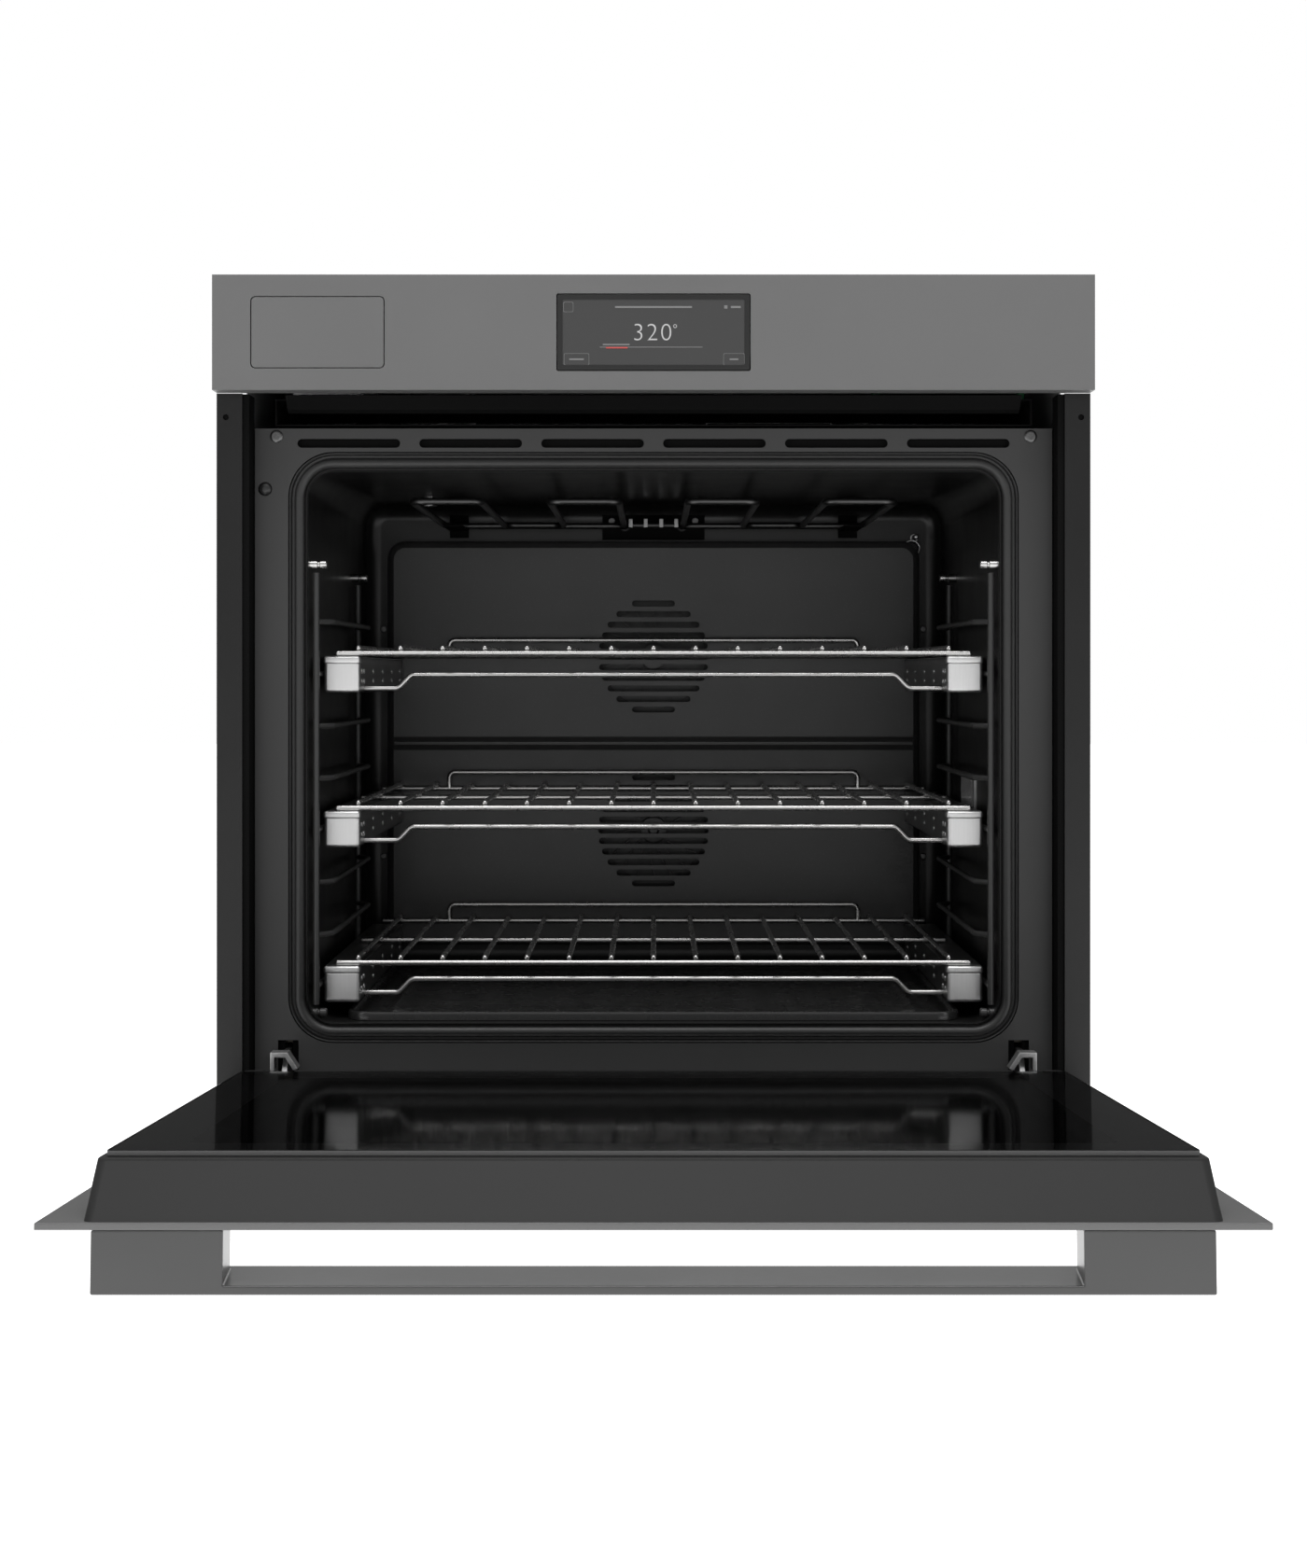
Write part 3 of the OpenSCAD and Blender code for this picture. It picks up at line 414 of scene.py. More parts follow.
finishes = {name: maker(name, settings) for name, (maker, settings) in finishes.items()}
print("finishes made:", len(finishes))


# mesh building

def newMesh(name, bm):
    mesh = bpy.data.meshes.new(name)
    bm.to_mesh(mesh)
    bm.free()
    return mesh


def shadeByAngle(mesh, angle):
    # smooth where faces meet at less than the angle, sharp elsewhere
    bm = bmesh.new()
    bm.from_mesh(mesh)
    limit = math.radians(angle)
    for face in bm.faces:
        face.smooth = True
    for edge in bm.edges:
        edge.smooth = len(edge.link_faces) == 2 and edge.calc_face_angle(0.0) < limit
    bm.to_mesh(mesh)
    bm.free()


def linked(name, data):
    obj = bpy.data.objects.new(name, data)
    scene.collection.objects.link(obj)
    return obj


def evaluatedMesh(obj):
    bpy.context.view_layer.update()
    mesh = bpy.data.meshes.new_from_object(obj.evaluated_get(bpy.context.evaluated_depsgraph_get()))
    bpy.data.objects.remove(obj)
    return mesh


def withModifiers(name, mesh, modifiers):
    # the mesh with these modifiers applied, each a type and its settings
    obj = linked(name, mesh)
    for kind, settings in modifiers:
        modifier = obj.modifiers.new(kind.lower(), kind)
        for key, value in settings.items():
            setattr(modifier, key, value)
    return evaluatedMesh(obj)


def bevelled(name, mesh, width, segments=3, angle=30):
    if width <= 0:
        return mesh
    return withModifiers(name, mesh, [("BEVEL", {
        "width": width, "segments": segments, "limit_method": "ANGLE",
        "angle_limit": math.radians(angle), "use_clamp_overlap": True, "miter_outer": "MITER_ARC"})])


def piece(name, mesh, finish, body, stands=(), angle=35):
    shadeByAngle(mesh, angle)
    mesh = withModifiers(name, mesh, [("WEIGHTED_NORMAL", {"keep_sharp": True, "weight": 50})])
    mesh.name = name
    obj = linked(name, mesh)
    mesh.materials.clear()
    mesh.materials.append(finishes[finish])
    for polygon in mesh.polygons:
        polygon.material_index = 0
    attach(obj, body)
    if stands:
        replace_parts(obj, *stands)
    return obj


def copyOfNode(node):
    # a CAD node's mesh with its triangles joined into whole faces
    bm = bmesh.new()
    bm.from_mesh(frame["nodes"][node].data)
    bmesh.ops.remove_doubles(bm, verts=bm.verts, dist=2e-6)
    bmesh.ops.dissolve_limit(bm, angle_limit=math.radians(0.6), verts=bm.verts, edges=bm.edges)
    return newMesh(node, bm)


def refined(node, finish, body, slot, bevel, segments=3):
    # a CAD node with its edges rounded
    name = "".join(w if i == 0 else w.capitalize() for i, w in enumerate(node.split("_")))
    mesh = bevelled(name, copyOfNode(node), bevel, segments)
    return piece(name, mesh, finish, body, (node,))


def roundedRing(low, high, radius, y, steps=8):
    # points round a rectangle with round corners, in the plane of that y
    points = []
    corner = min(radius, (high[0] - low[0]) / 2, (high[1] - low[1]) / 2)
    centres = [(high[0] - corner, high[1] - corner, 0), (low[0] + corner, high[1] - corner, 90),
               (low[0] + corner, low[1] + corner, 180), (high[0] - corner, low[1] + corner, 270)]
    for cx, cz, start in centres:
        for k in range(steps + 1):
            a = math.radians(start + 90 * k / steps)
            points.append(Vector((cx + corner * math.cos(a), y, cz + corner * math.sin(a))))
    return points


def circleRing(cx, cz, radius, y, steps=32):
    return [Vector((cx + radius * math.cos(2 * math.pi * k / steps), y,
                    cz + radius * math.sin(2 * math.pi * k / steps))) for k in range(steps)]


def loft(rings, closed=False, capStart=False, capEnd=False):
    # skin over rings that have the same number of points, with its faces turned outwards
    bm = bmesh.new()
    rows = [[bm.verts.new(p) for p in ring] for ring in rings]
    if closed:
        rows.append(rows[0])
    count = len(rows[0])
    for a, b in zip(rows, rows[1:]):
        for k in range(count):
            bm.faces.new((a[k], a[(k + 1) % count], b[(k + 1) % count], b[k]))
    if capStart:
        bm.faces.new(rows[0])
    if capEnd:
        bm.faces.new(rows[-1])
    bmesh.ops.recalc_face_normals(bm, faces=bm.faces)
    return newMesh("loft", bm)


def plate(outline, holes, y0, y1, merge=True):
    # flat plate from y0 to y1 with an outline and holes, each a ring of points; its triangles may be merged
    bm = bmesh.new()
    edges = []
    for ring in [outline, *holes]:
        verts = [bm.verts.new((p.x, y0, p.z)) for p in ring]
        for a, b in zip(verts, verts[1:] + verts[:1]):
            edges.append(bm.edges.new((a, b)))
    bmesh.ops.triangle_fill(bm, use_beauty=True, use_dissolve=False, edges=edges)
    faces = list(bm.faces)
    made = bmesh.ops.extrude_face_region(bm, geom=faces)
    for v in [g for g in made["geom"] if isinstance(g, bmesh.types.BMVert)]:
        v.co.y = y1
    bmesh.ops.recalc_face_normals(bm, faces=bm.faces)
    if merge:
        bmesh.ops.dissolve_limit(bm, angle_limit=math.radians(0.5), verts=bm.verts, edges=bm.edges)
    return newMesh("plate", bm)


def slotRing(cx, cz, halfLength, radius, y, steps=6):
    # points round a slot with round ends
    points = []
    for side, start in ((1, -90), (-1, 90)):
        for k in range(steps + 1):
            a = math.radians(start + 180 * k / steps)
            points.append(Vector((cx + side * (halfLength - radius) + radius * math.cos(a), y,
                                  cz + radius * math.sin(a))))
    return points


def boxMesh(low, high):
    bm = bmesh.new()
    bmesh.ops.create_cube(bm, size=1.0)
    size = [high[i] - low[i] for i in range(3)]
    for v in bm.verts:
        v.co = Vector([low[i] + (v.co[i] + 0.5) * size[i] for i in range(3)])
    return newMesh("box", bm)


def joined(meshes):
    bm = bmesh.new()
    for mesh in meshes:
        bm.from_mesh(mesh)
    return newMesh("joined", bm)


def cutAway(name, mesh, low, high):
    # the mesh without what lies in that box
    cutter = linked("cutter", boxMesh(low, high))
    mesh = withModifiers(name, mesh, [("BOOLEAN", {"operation": "DIFFERENCE", "solver": "EXACT",
                                                   "object": cutter})])
    bpy.data.objects.remove(cutter)
    return mesh


def moved(mesh, matrix):
    mesh.transform(matrix)
    return mesh


def eitherSide(side, a, b):
    # the two distances from the middle on that side, the lower one first
    return sorted((side * a, side * b))


# geometry node layouts

class Layout:
    # a node group with a geometry in, named sizes in, and one realised geometry with a material out
    def __init__(self, name, sizes):
        self.group = bpy.data.node_groups.new(name, "GeometryNodeTree")
        self.identifiers = {}
        self.group.interface.new_socket("Geometry", in_out="INPUT", socket_type="NodeSocketGeometry")
        for label, kind in [*sizes.items(), ("Finish", "NodeSocketMaterial")]:
            made = self.group.interface.new_socket(label, in_out="INPUT", socket_type=kind)
            self.identifiers[label] = made.identifier
        self.group.interface.new_socket("Geometry", in_out="OUTPUT", socket_type="NodeSocketGeometry")
        self.source = self.group.nodes.new("NodeGroupInput").outputs

    def add(self, kind, settings=None, inputs=None, output=0):
        made = self.group.nodes.new(kind)
        for key, value in (settings or {}).items():
            setattr(made, key, value)
        for key, value in (inputs or {}).items():
            values = value if isinstance(value, list) else [value]
            for v in values:
                if isinstance(v, bpy.types.NodeSocket):
                    self.group.links.new(v, made.inputs[key])
                else:
                    made.inputs[key].default_value = v
        return made.outputs[output]

    def close(self, geometry):
        whole = self.add("GeometryNodeRealizeInstances", {}, {0: geometry})
        smooth = self.add("GeometryNodeSetShadeSmooth", {}, {0: whole})
        painted = self.add("GeometryNodeSetMaterial", {}, {0: smooth, "Material": self.source["Finish"]})
        sink = self.group.nodes.new("NodeGroupOutput")
        self.group.links.new(painted, sink.inputs[0])
        return self

    def build(self, base, values):
        obj = linked("base", base)
        modifier = obj.modifiers.new("layout", "NODES")
        modifier.node_group = self.group
        for label, value in values.items():
            modifier[self.identifiers[label]] = value
        return evaluatedMesh(obj)


def bentRodLayout():
    # round rod along a line of edges, with round bends
    layout = Layout("bentRod", {"Radius": "NodeSocketFloat", "Bend": "NodeSocketFloat"})
    line = layout.add("GeometryNodeMeshToCurve", {}, {0: layout.source["Geometry"]})
    bent = layout.add("GeometryNodeFilletCurve", {"mode": "POLY"},
                      {0: line, "Count": 8, "Radius": layout.source["Bend"], "Limit Radius": True})
    section = layout.add("GeometryNodeCurvePrimitiveCircle", {},
                         {"Resolution": 14, "Radius": layout.source["Radius"]})
    rod = layout.add("GeometryNodeCurveToMesh", {},
                     {"Curve": bent, "Profile Curve": section, "Fill Caps": True})
    return layout.close(rod)


def wireRowLayout():
    # straight wires in a row, with round ends
    layout = Layout("wireRow", {"Count": "NodeSocketInt", "Pitch": "NodeSocketVector",
                                "Start": "NodeSocketVector", "End": "NodeSocketVector",
                                "Radius": "NodeSocketFloat"})
    row = layout.add("GeometryNodeMeshLine", {"mode": "OFFSET"},
                     {"Count": layout.source["Count"], "Offset": layout.source["Pitch"]})
    line = layout.add("GeometryNodeCurvePrimitiveLine", {},
                      {"Start": layout.source["Start"], "End": layout.source["End"]})
    section = layout.add("GeometryNodeCurvePrimitiveCircle", {},
                         {"Resolution": 14, "Radius": layout.source["Radius"]})
    wire = layout.add("GeometryNodeCurveToMesh", {},
                      {"Curve": line, "Profile Curve": section, "Fill Caps": True})
    ball = layout.add("GeometryNodeMeshUVSphere", {},
                      {"Segments": 14, "Rings": 8, "Radius": layout.source["Radius"]})
    ends = [layout.add("GeometryNodeTransform", {}, {0: ball, "Translation": layout.source[end]})
            for end in ("Start", "End")]
    whole = layout.add("GeometryNodeJoinGeometry", {}, {0: [wire, *ends]})
    placed = layout.add("GeometryNodeInstanceOnPoints", {}, {"Points": row, "Instance": whole})
    return layout.close(placed)


def scatterLayout():
    # one copy of a part at each point
    layout = Layout("scatter", {"Part": "NodeSocketObject", "Turn": "NodeSocketRotation"})
    part = layout.add("GeometryNodeObjectInfo", {"transform_space": "ORIGINAL"},
                      {"Object": layout.source["Part"]}, output="Geometry")
    placed = layout.add("GeometryNodeInstanceOnPoints", {},
                        {"Points": layout.source["Geometry"], "Instance": part,
                         "Rotation": layout.source["Turn"]})
    return layout.close(placed)


def bladeRingLayout():
    # blades spaced evenly round the Y axis
    layout = Layout("bladeRing", {"Blade": "NodeSocketObject", "Count": "NodeSocketInt"})
    row = layout.add("GeometryNodeMeshLine", {"mode": "OFFSET"},
                     {"Count": layout.source["Count"], "Offset": (0.0, 0.0, 0.0)})
    blade = layout.add("GeometryNodeObjectInfo", {"transform_space": "ORIGINAL"},
                       {"Object": layout.source["Blade"]}, output="Geometry")
    index = layout.add("GeometryNodeInputIndex")
    share = layout.add("ShaderNodeMath", {"operation": "DIVIDE"}, {0: index, 1: layout.source["Count"]})
    angle = layout.add("ShaderNodeMath", {"operation": "MULTIPLY"}, {0: share, 1: 2 * math.pi})
    turn = layout.add("ShaderNodeCombineXYZ", {}, {"Y": angle})
    placed = layout.add("GeometryNodeInstanceOnPoints", {},
                        {"Points": row, "Instance": blade, "Rotation": turn})
    return layout.close(placed)


bentRod = bentRodLayout()
wireRow = wireRowLayout()
scatter = scatterLayout()
bladeRing = bladeRingLayout()


def pathMesh(paths):
    # open lines of edges through points
    bm = bmesh.new()
    for path in paths:
        verts = [bm.verts.new(p) for p in path]
        for a, b in zip(verts, verts[1:]):
            bm.edges.new((a, b))
    return newMesh("path", bm)


def pointMesh(points):
    mesh = bpy.data.meshes.new("points")
    mesh.from_pydata([tuple(p) for p in points], [], [])
    return mesh


def rods(paths, diameter, bend, finish):
    return bentRod.build(pathMesh(paths), {"Radius": diameter / 2, "Bend": bend,
                                           "Finish": finishes[finish]})


def scattered(part, points, turn, finish):
    return scatter.build(pointMesh(points), {"Part": part, "Turn": turn, "Finish": finishes[finish]})


def mirroredPaths(paths):
    return paths + [[Vector((-p[0], p[1], p[2])) for p in path] for path in paths]


def screwHead(name, radius, height):
    # pan head with a cross recess, its axis along Y and its face towards -Y
    profile = [(radius, 0.0), (radius, -0.45 * height), (0.86 * radius, -0.85 * height),
               (0.6 * radius, -height)]
    rings = [circleRing(0, 0, r, y, 24) for r, y in profile]
    mesh = loft(rings, capStart=True, capEnd=True)
    arm = 0.42 * radius
    half = 0.13 * radius
    deep = -0.45 * height
    for halfX, halfZ in ((arm, half), (half, arm)):
        mesh = cutAway(name, mesh, (-halfX, -2 * height, -halfZ), (halfX, deep, halfZ))
    return linked(name, mesh)


print("layouts ready")


# camera, floor and light

studio = {
    "lens": 55.35, "eye": (0.0, -2.091, 0.386), "shift": -0.0702, "floorDrop": 0.55, "floorHalf": 30.0,
    "skyLow": (0.0, 0.07), "skyHigh": (0.9, 0.9),  # height of a direction and the strength there
    "lights": {  # place, target, size and power of each soft box
        "frontFill": ((0.0, -3.6, 1.1), (0, 0, 0.3), (3.0, 1.2), 7.0),
        "topFill": ((0.0, -1.0, 3.2), (0, -0.2, 0.2), (2.4, 1.6), 55.0),
        "leftStrip": ((-2.2, -1.6, 1.2), (0, 0.1, 0.35), (0.6, 2.0), 5.0),
        "rightStrip": ((2.2, -1.6, 1.2), (0, 0.1, 0.35), (0.6, 2.0), 5.0),
    },
}


def makeCamera(s):
    camera = bpy.data.cameras.new("studioCamera")
    camera.lens = s["lens"]
    camera.shift_y = s["shift"]
    camera.clip_end = 100
    obj = linked("studioCamera", camera)
    obj.location = s["eye"]
    obj.rotation_euler = (math.radians(90), 0, 0)
    scene.camera = obj


def makeFloor(s):
    bm = bmesh.new()
    bmesh.ops.create_grid(bm, x_segments=2, y_segments=2, size=s["floorHalf"])
    for v in bm.verts:
        v.co.z = cadBounds[0].z - s["floorDrop"]
    mesh = newMesh("studioFloor", bm)
    mesh.materials.append(finishes["paper"])
    linked("studioFloor", mesh)


def softBox(name, place, target, size, power):
    light = bpy.data.lights.new(name, "AREA")
    light.shape = "RECTANGLE"
    light.size = size[0]
    light.size_y = size[1]
    light.energy = power
    obj = linked(name, light)
    obj.location = place
    obj.rotation_euler = (Vector(target) - Vector(place)).to_track_quat("-Z", "Y").to_euler()
    obj.visible_camera = False


def makeLight(s):
    # white behind everything, and for reflections a sky that brightens with height
    world = bpy.data.worlds.new("studioSky")
    world.use_nodes = True
    nodes, links = world.node_tree.nodes, world.node_tree.links
    backdrop = nodes["Background"]
    backdrop.inputs["Strength"].default_value = 1.0
    backdrop.inputs["Color"].default_value = (1, 1, 1, 1)
    direction = nodes.new("ShaderNodeTexCoord")
    split = nodes.new("ShaderNodeSeparateXYZ")
    height = nodes.new("ShaderNodeMapRange")
    height.inputs["From Min"].default_value = s["skyLow"][0]
    height.inputs["From Max"].default_value = s["skyHigh"][0]
    height.inputs["To Min"].default_value = s["skyLow"][1]
    height.inputs["To Max"].default_value = s["skyHigh"][1]
    studioSky = nodes.new("ShaderNodeBackground")
    seen = nodes.new("ShaderNodeLightPath")
    choice = nodes.new("ShaderNodeMixShader")
    links.new(direction.outputs["Generated"], split.inputs[0])
    links.new(split.outputs[2], height.inputs["Value"])
    links.new(height.outputs[0], studioSky.inputs["Strength"])
    links.new(seen.outputs["Is Camera Ray"], choice.inputs[0])
    links.new(studioSky.outputs[0], choice.inputs[1])
    links.new(backdrop.outputs[0], choice.inputs[2])
    links.new(choice.outputs[0], nodes["World Output"].inputs["Surface"])
    scene.world = world
    for name, settings in s["lights"].items():
        softBox(name, *settings)


makeCamera(studio)
makeFloor(studio)
makeLight(studio)
print("studio ready")


# outer case

caseLow, caseHigh = corners("side_panels")
frontLow, frontHigh = corners("control_panel_fascia")
topLow, topHigh = corners("top_cover")
backLow, backHigh = corners("back_panel")

caseDetail = {
    "panBevel": 0.0006, "sheetBevel": 0.0004, "blockBevel": 0.0008,
    "ribDepth": 0.0022, "ribHeight": 0.022, "ribShares": (0.264, 0.504, 0.744),
    "sideRib": (0.09, 0.07), "topRib": (0.1, 0.09), "topRibX": 0.17,
    "backRibHalf": 0.27, "backRibZ": (0.16, 0.34, 0.52),
    "screwRadius": 0.0045, "screwHeight": 0.0022, "screwIn": 0.008,
    "backScrews": (0.03, 0.69, 6), "footScrews": (-0.24, 0.24, 4), "topScrews": (0.03, 0.53, 4),
}


def rowOfPoints(start, end, count):
    return [Vector(start).lerp(Vector(end), k / (count - 1)) for k in range(count)]


def swageMesh(start, end, height, depth, normal):
    # a long pressed rib with round ends; it stands out along the normal
    along = (Vector(end) - Vector(start))
    length = along.length
    along.normalize()
    across = Vector(normal).cross(along)
    centre = Vector(start).lerp(Vector(end), 0.5)
    taper = 0.45
    steps = 24
    rings = []
    for share, grow in ((0.0, 0.0), (0.35, 0.9), (0.75, 1.0), (1.0, 1.0)):
        half = height / 2 * (1 - taper * share)
        points = []
        for k in range(steps):
            a = 2 * math.pi * k / steps
            reach = (length / 2 - height * 0.5) * (1 if math.cos(a) > 0 else -1)
            offset = along * (reach + half * math.cos(a)) + across * (half * math.sin(a))
            points.append(centre + offset + Vector(normal) * depth * grow)
        rings.append(points)
    return loft(rings, capEnd=True, capStart=True)


def pressedRibs(s):
    # ribs on both sides, on the top and across the back, each from one end to the other with its way out
    lines = []
    for share in s["ribShares"]:
        z = caseLow.z + share * (caseHigh.z - caseLow.z)
        for side in (-1, 1):
            x = side * caseHigh.x
            lines.append(((x, s["sideRib"][0], z), (x, caseHigh.y - s["sideRib"][1], z), (side, 0, 0)))
    for x in (-s["topRibX"], s["topRibX"]):
        lines.append(((x, s["topRib"][0], topHigh.z), (x, topHigh.y - s["topRib"][1], topHigh.z), (0, 0, 1)))
    for z in s["backRibZ"]:
        lines.append(((-s["backRibHalf"], backHigh.y, z), (s["backRibHalf"], backHigh.y, z), (0, 1, 0)))
    return [swageMesh(start, end, s["ribHeight"], s["ribDepth"], out) for start, end, out in lines]


def makeCase(s):
    refined("base_pan", "zincSheet", "oven_case", "galvanised", s["panBevel"], 2)
    for node in ("side_panels", "back_panel", "top_cover"):
        refined(node, "zincSheet", "oven_case", "galvanised", s["sheetBevel"], 2)
    refined("terminal_block", "whitePlastic", "oven_case", "white_plastic", s["blockBevel"], 2)
    piece("casePressedRibs", joined(pressedRibs(s)), "zincSheet", "oven_case")
    head = screwHead("caseScrewHead", s["screwRadius"], s["screwHeight"])
    backPoints = []
    topPoints = []
    low, high, count = s["backScrews"]
    front, rear, topCount = s["topScrews"]
    for side in (-1, 1):
        x = side * (caseHigh.x - s["screwIn"])
        backPoints += rowOfPoints((x, backHigh.y, low), (x, backHigh.y, high), count)
        topPoints += rowOfPoints((x, front, topHigh.z), (x, rear, topHigh.z), topCount)
    left, right, footCount = s["footScrews"]
    foot = backLow.z + s["screwIn"]
    backPoints += rowOfPoints((left, backHigh.y, foot), (right, backHigh.y, foot), footCount)
    rearScrews = scattered(head, backPoints, (0.0, 0.0, math.pi), "motorSteel")
    topScrews = scattered(head, topPoints, (-math.pi / 2, 0.0, 0.0), "motorSteel")
    piece("caseScrews", joined([rearScrews, topScrews]), "motorSteel", "oven_case")
    bpy.data.objects.remove(head)


makeCase(caseDetail)
print("case ready")


# front: panel, screen, tank flap, trims and frame

screenLow, screenHigh = corners("touch_screen")
frameLow, frameHigh = corners("front_frame")
ductLow, ductHigh = corners("cooling_duct")

screenDetail = {
    "border": 0.0045, "glassSet": 0.0004, "glassBack": 0.0002, "corner": 0.0015, "bevel": 0.0003,
    "printSet": 0.0001, "printHalf": 0.00006,
    "digits": {"height": 0.0150, "place": (-0.001, -0.0008), "sizeToHeight": 1.42, "half": 0.00006,
               "thinning": -0.00042, "spacing": 1.12},
    "degree": {"place": (0.0185, 0.0052), "inner": 0.0011, "outer": 0.0016},
    # across from that edge or the middle, up from the middle, width and height
    "bars": [("middle", 0.0, 0.0216, 0.066, 0.0016), ("middle", -0.002, -0.0128, 0.088, 0.0006),
             ("right", -0.0120, 0.0216, 0.0085, 0.0018), ("right", -0.0205, 0.0216, 0.0028, 0.0028),
             ("left", 0.0165, -0.0232, 0.0125, 0.0014), ("right", -0.0135, -0.0232, 0.0075, 0.0014),
             ("middle", -0.032, -0.0106, 0.023, 0.0012)],
    "progress": (-0.0315, -0.0133, 0.0185, 0.0012),
    # the same for the outlined keys, with half their width and height
    "keys": [("left", 0.0165, -0.0232, 0.0105, 0.0048), ("right", -0.0135, -0.0232, 0.0088, 0.0048),
             ("left", 0.0095, 0.0216, 0.0040, 0.0040)],
    "keyLine": 0.0003, "keyCorner": 0.0012,
}


def numberMesh(number, s, x, z, y):
    # a generic number, standing upright and facing the front
    curve = bpy.data.curves.new("number", "FONT")
    curve.body = number
    curve.size = s["height"] * s["sizeToHeight"]
    curve.align_x = "CENTER"
    curve.align_y = "CENTER"
    curve.extrude = s["half"]
    curve.offset = s["thinning"]
    curve.space_character = s["spacing"]
    upright = Matrix.Translation((x, y, z)) @ Matrix.Rotation(math.pi / 2, 4, "X")
    return moved(evaluatedMesh(linked("number", curve)), upright)


def barMesh(x, z, width, height, y):
    thick = 0.00008
    return boxMesh((x - width / 2, y - thick, z - height / 2), (x + width / 2, y + thick, z + height / 2))


def makeScreen(s):
    low, high = (screenLow.x, screenLow.z), (screenHigh.x, screenHigh.z)
    y0 = screenLow.y
    b = s["border"]
    innerLow, innerHigh = (low[0] + b, low[1] + b), (high[0] - b, high[1] - b)
    frameOfGlass = plate(roundedRing(low, high, s["corner"], y0),
                         [roundedRing(innerLow, innerHigh, s["corner"], y0)], y0, screenHigh.y)
    piece("screenBezel", bevelled("screenBezel", frameOfGlass, s["bevel"], 2), "screenBezel", "oven_case",
          ("touch_screen",))
    glassY = y0 + s["glassSet"]
    glass = plate(roundedRing(innerLow, innerHigh, s["corner"], glassY), [], glassY,
                  screenHigh.y - s["glassBack"])
    piece("screenGlass", glass, "screenGlass", "oven_case")
    cx = (low[0] + high[0]) / 2
    cz = (low[1] + high[1]) / 2
    y = glassY - s["printSet"]
    half = s["printHalf"]
    right, up = s["digits"]["place"]
    number = numberMesh("320", s["digits"], cx + right, cz + up, y)
    right, up = s["degree"]["place"]
    inner, outer = s["degree"]["inner"], s["degree"]["outer"]
    degree = loft([circleRing(cx + right, cz + up, r, y + side * half, 20)
                   for r, side in ((inner, -1), (outer, -1), (outer, 1), (inner, 1))], closed=True)
    piece("screenNumber", joined([number, degree]), "displayWhite", "oven_case")
    startOf = {"left": low[0], "middle": cx, "right": high[0]}
    bars = [barMesh(startOf[edge] + x, cz + z, width, height, y) for edge, x, z, width, height in s["bars"]]
    piece("screenBars", joined(bars), "displayDim", "oven_case")
    keys = []
    for edge, x, z, halfW, halfH in s["keys"]:
        x, z = startOf[edge] + x, cz + z
        rims = []
        for grow, side in ((0.0, -1), (s["keyLine"], -1), (s["keyLine"], 1), (0.0, 1)):
            wide, tall = halfW + grow, halfH + grow
            rims.append(roundedRing((x - wide, z - tall), (x + wide, z + tall), s["keyCorner"],
                                    y + side * half, 4))
        keys.append(loft(rims, closed=True))
    piece("screenKeys", joined(keys), "displayDim", "oven_case")
    x, z, width, height = s["progress"]
    piece("screenProgress", barMesh(cx + x, cz + z, width, height, y - s["printSet"]), "displayRed",
          "oven_case")


trimDetail = {"bevel": 0.0003, "innerEdge": 0.355, "inset": 0.0033, "holeIn": 0.008, "holeDrop": 0.0205,
              "plug": [(0.0045, 0.0014), (0.0045, 0.0034)]}


def makeTrims(s):
    # the trims, whose inner edges stand back from the case, and black plugs behind their holes as painted
    # shade
    low, high = corners("side_trims")
    mesh = copyOfNode("side_trims")
    for v in mesh.vertices:
        if abs(v.co.x) < s["innerEdge"]:
            v.co.x += math.copysign(s["inset"], v.co.x)
    piece("sideTrims", bevelled("sideTrims", mesh, s["bevel"], 2), "trimPaint", "oven_case",
          ("side_trims",))
    plugs = []
    for side in (-1, 1):
        rings = [circleRing(side * (high.x - s["holeIn"]), high.z - s["holeDrop"], r, low.y + y, 24)
                 for r, y in s["plug"]]
        plugs.append(loft(rings, capStart=True, capEnd=True))
    piece("trimPlugs", joined(plugs), "blackSheet", "oven_case")


gapDetail = {"outer": (0.0012, 0.0068), "inner": (-0.004, 0.0022), "front": -0.0004, "behind": (0.002, 0.004),
             "underPanel": 0.001}


def makeGapShadeStrips(s):
    # black strips inside the case beside the frame: painted shade, so the gap between frame and trims reads
    # dark
    near, far = (frameHigh.y + y for y in s["behind"])
    strips = []
    for side in (-1, 1):
        x0, x1 = eitherSide(side, *(frameHigh.x + x for x in s["outer"]))
        strips.append(boxMesh((x0, s["front"], frameLow.z), (x1, far, frontLow.z - s["underPanel"])))
        x0, x1 = eitherSide(side, *(frameHigh.x + x for x in s["inner"]))
        strips.append(boxMesh((x0, near, frameLow.z), (x1, far, frameHigh.z)))
    piece("gapLiners", joined(strips), "blackSheet", "oven_case")


frontBevels = {"panel": 0.0006, "flap": 0.0005, "frame": 0.0005}


def makeFront(s):
    refined("control_panel_fascia", "frontPanelPaint", "oven_case", "front_metal", s["panel"])
    refined("tank_flap", "frontPanelPaint", "tank_drawer", "front_metal", s["flap"])
    refined("front_frame", "frameEnamel", "oven_case", "frame_enamel", s["frame"], 2)


ventDetail = {"section": [(0.004, -0.0012), (0.008, -0.0050), (0.0155, -0.0125), (0.0222, -0.0150)],
              "endIn": 0.012, "endFold": 0.014, "sheet": 0.0008}


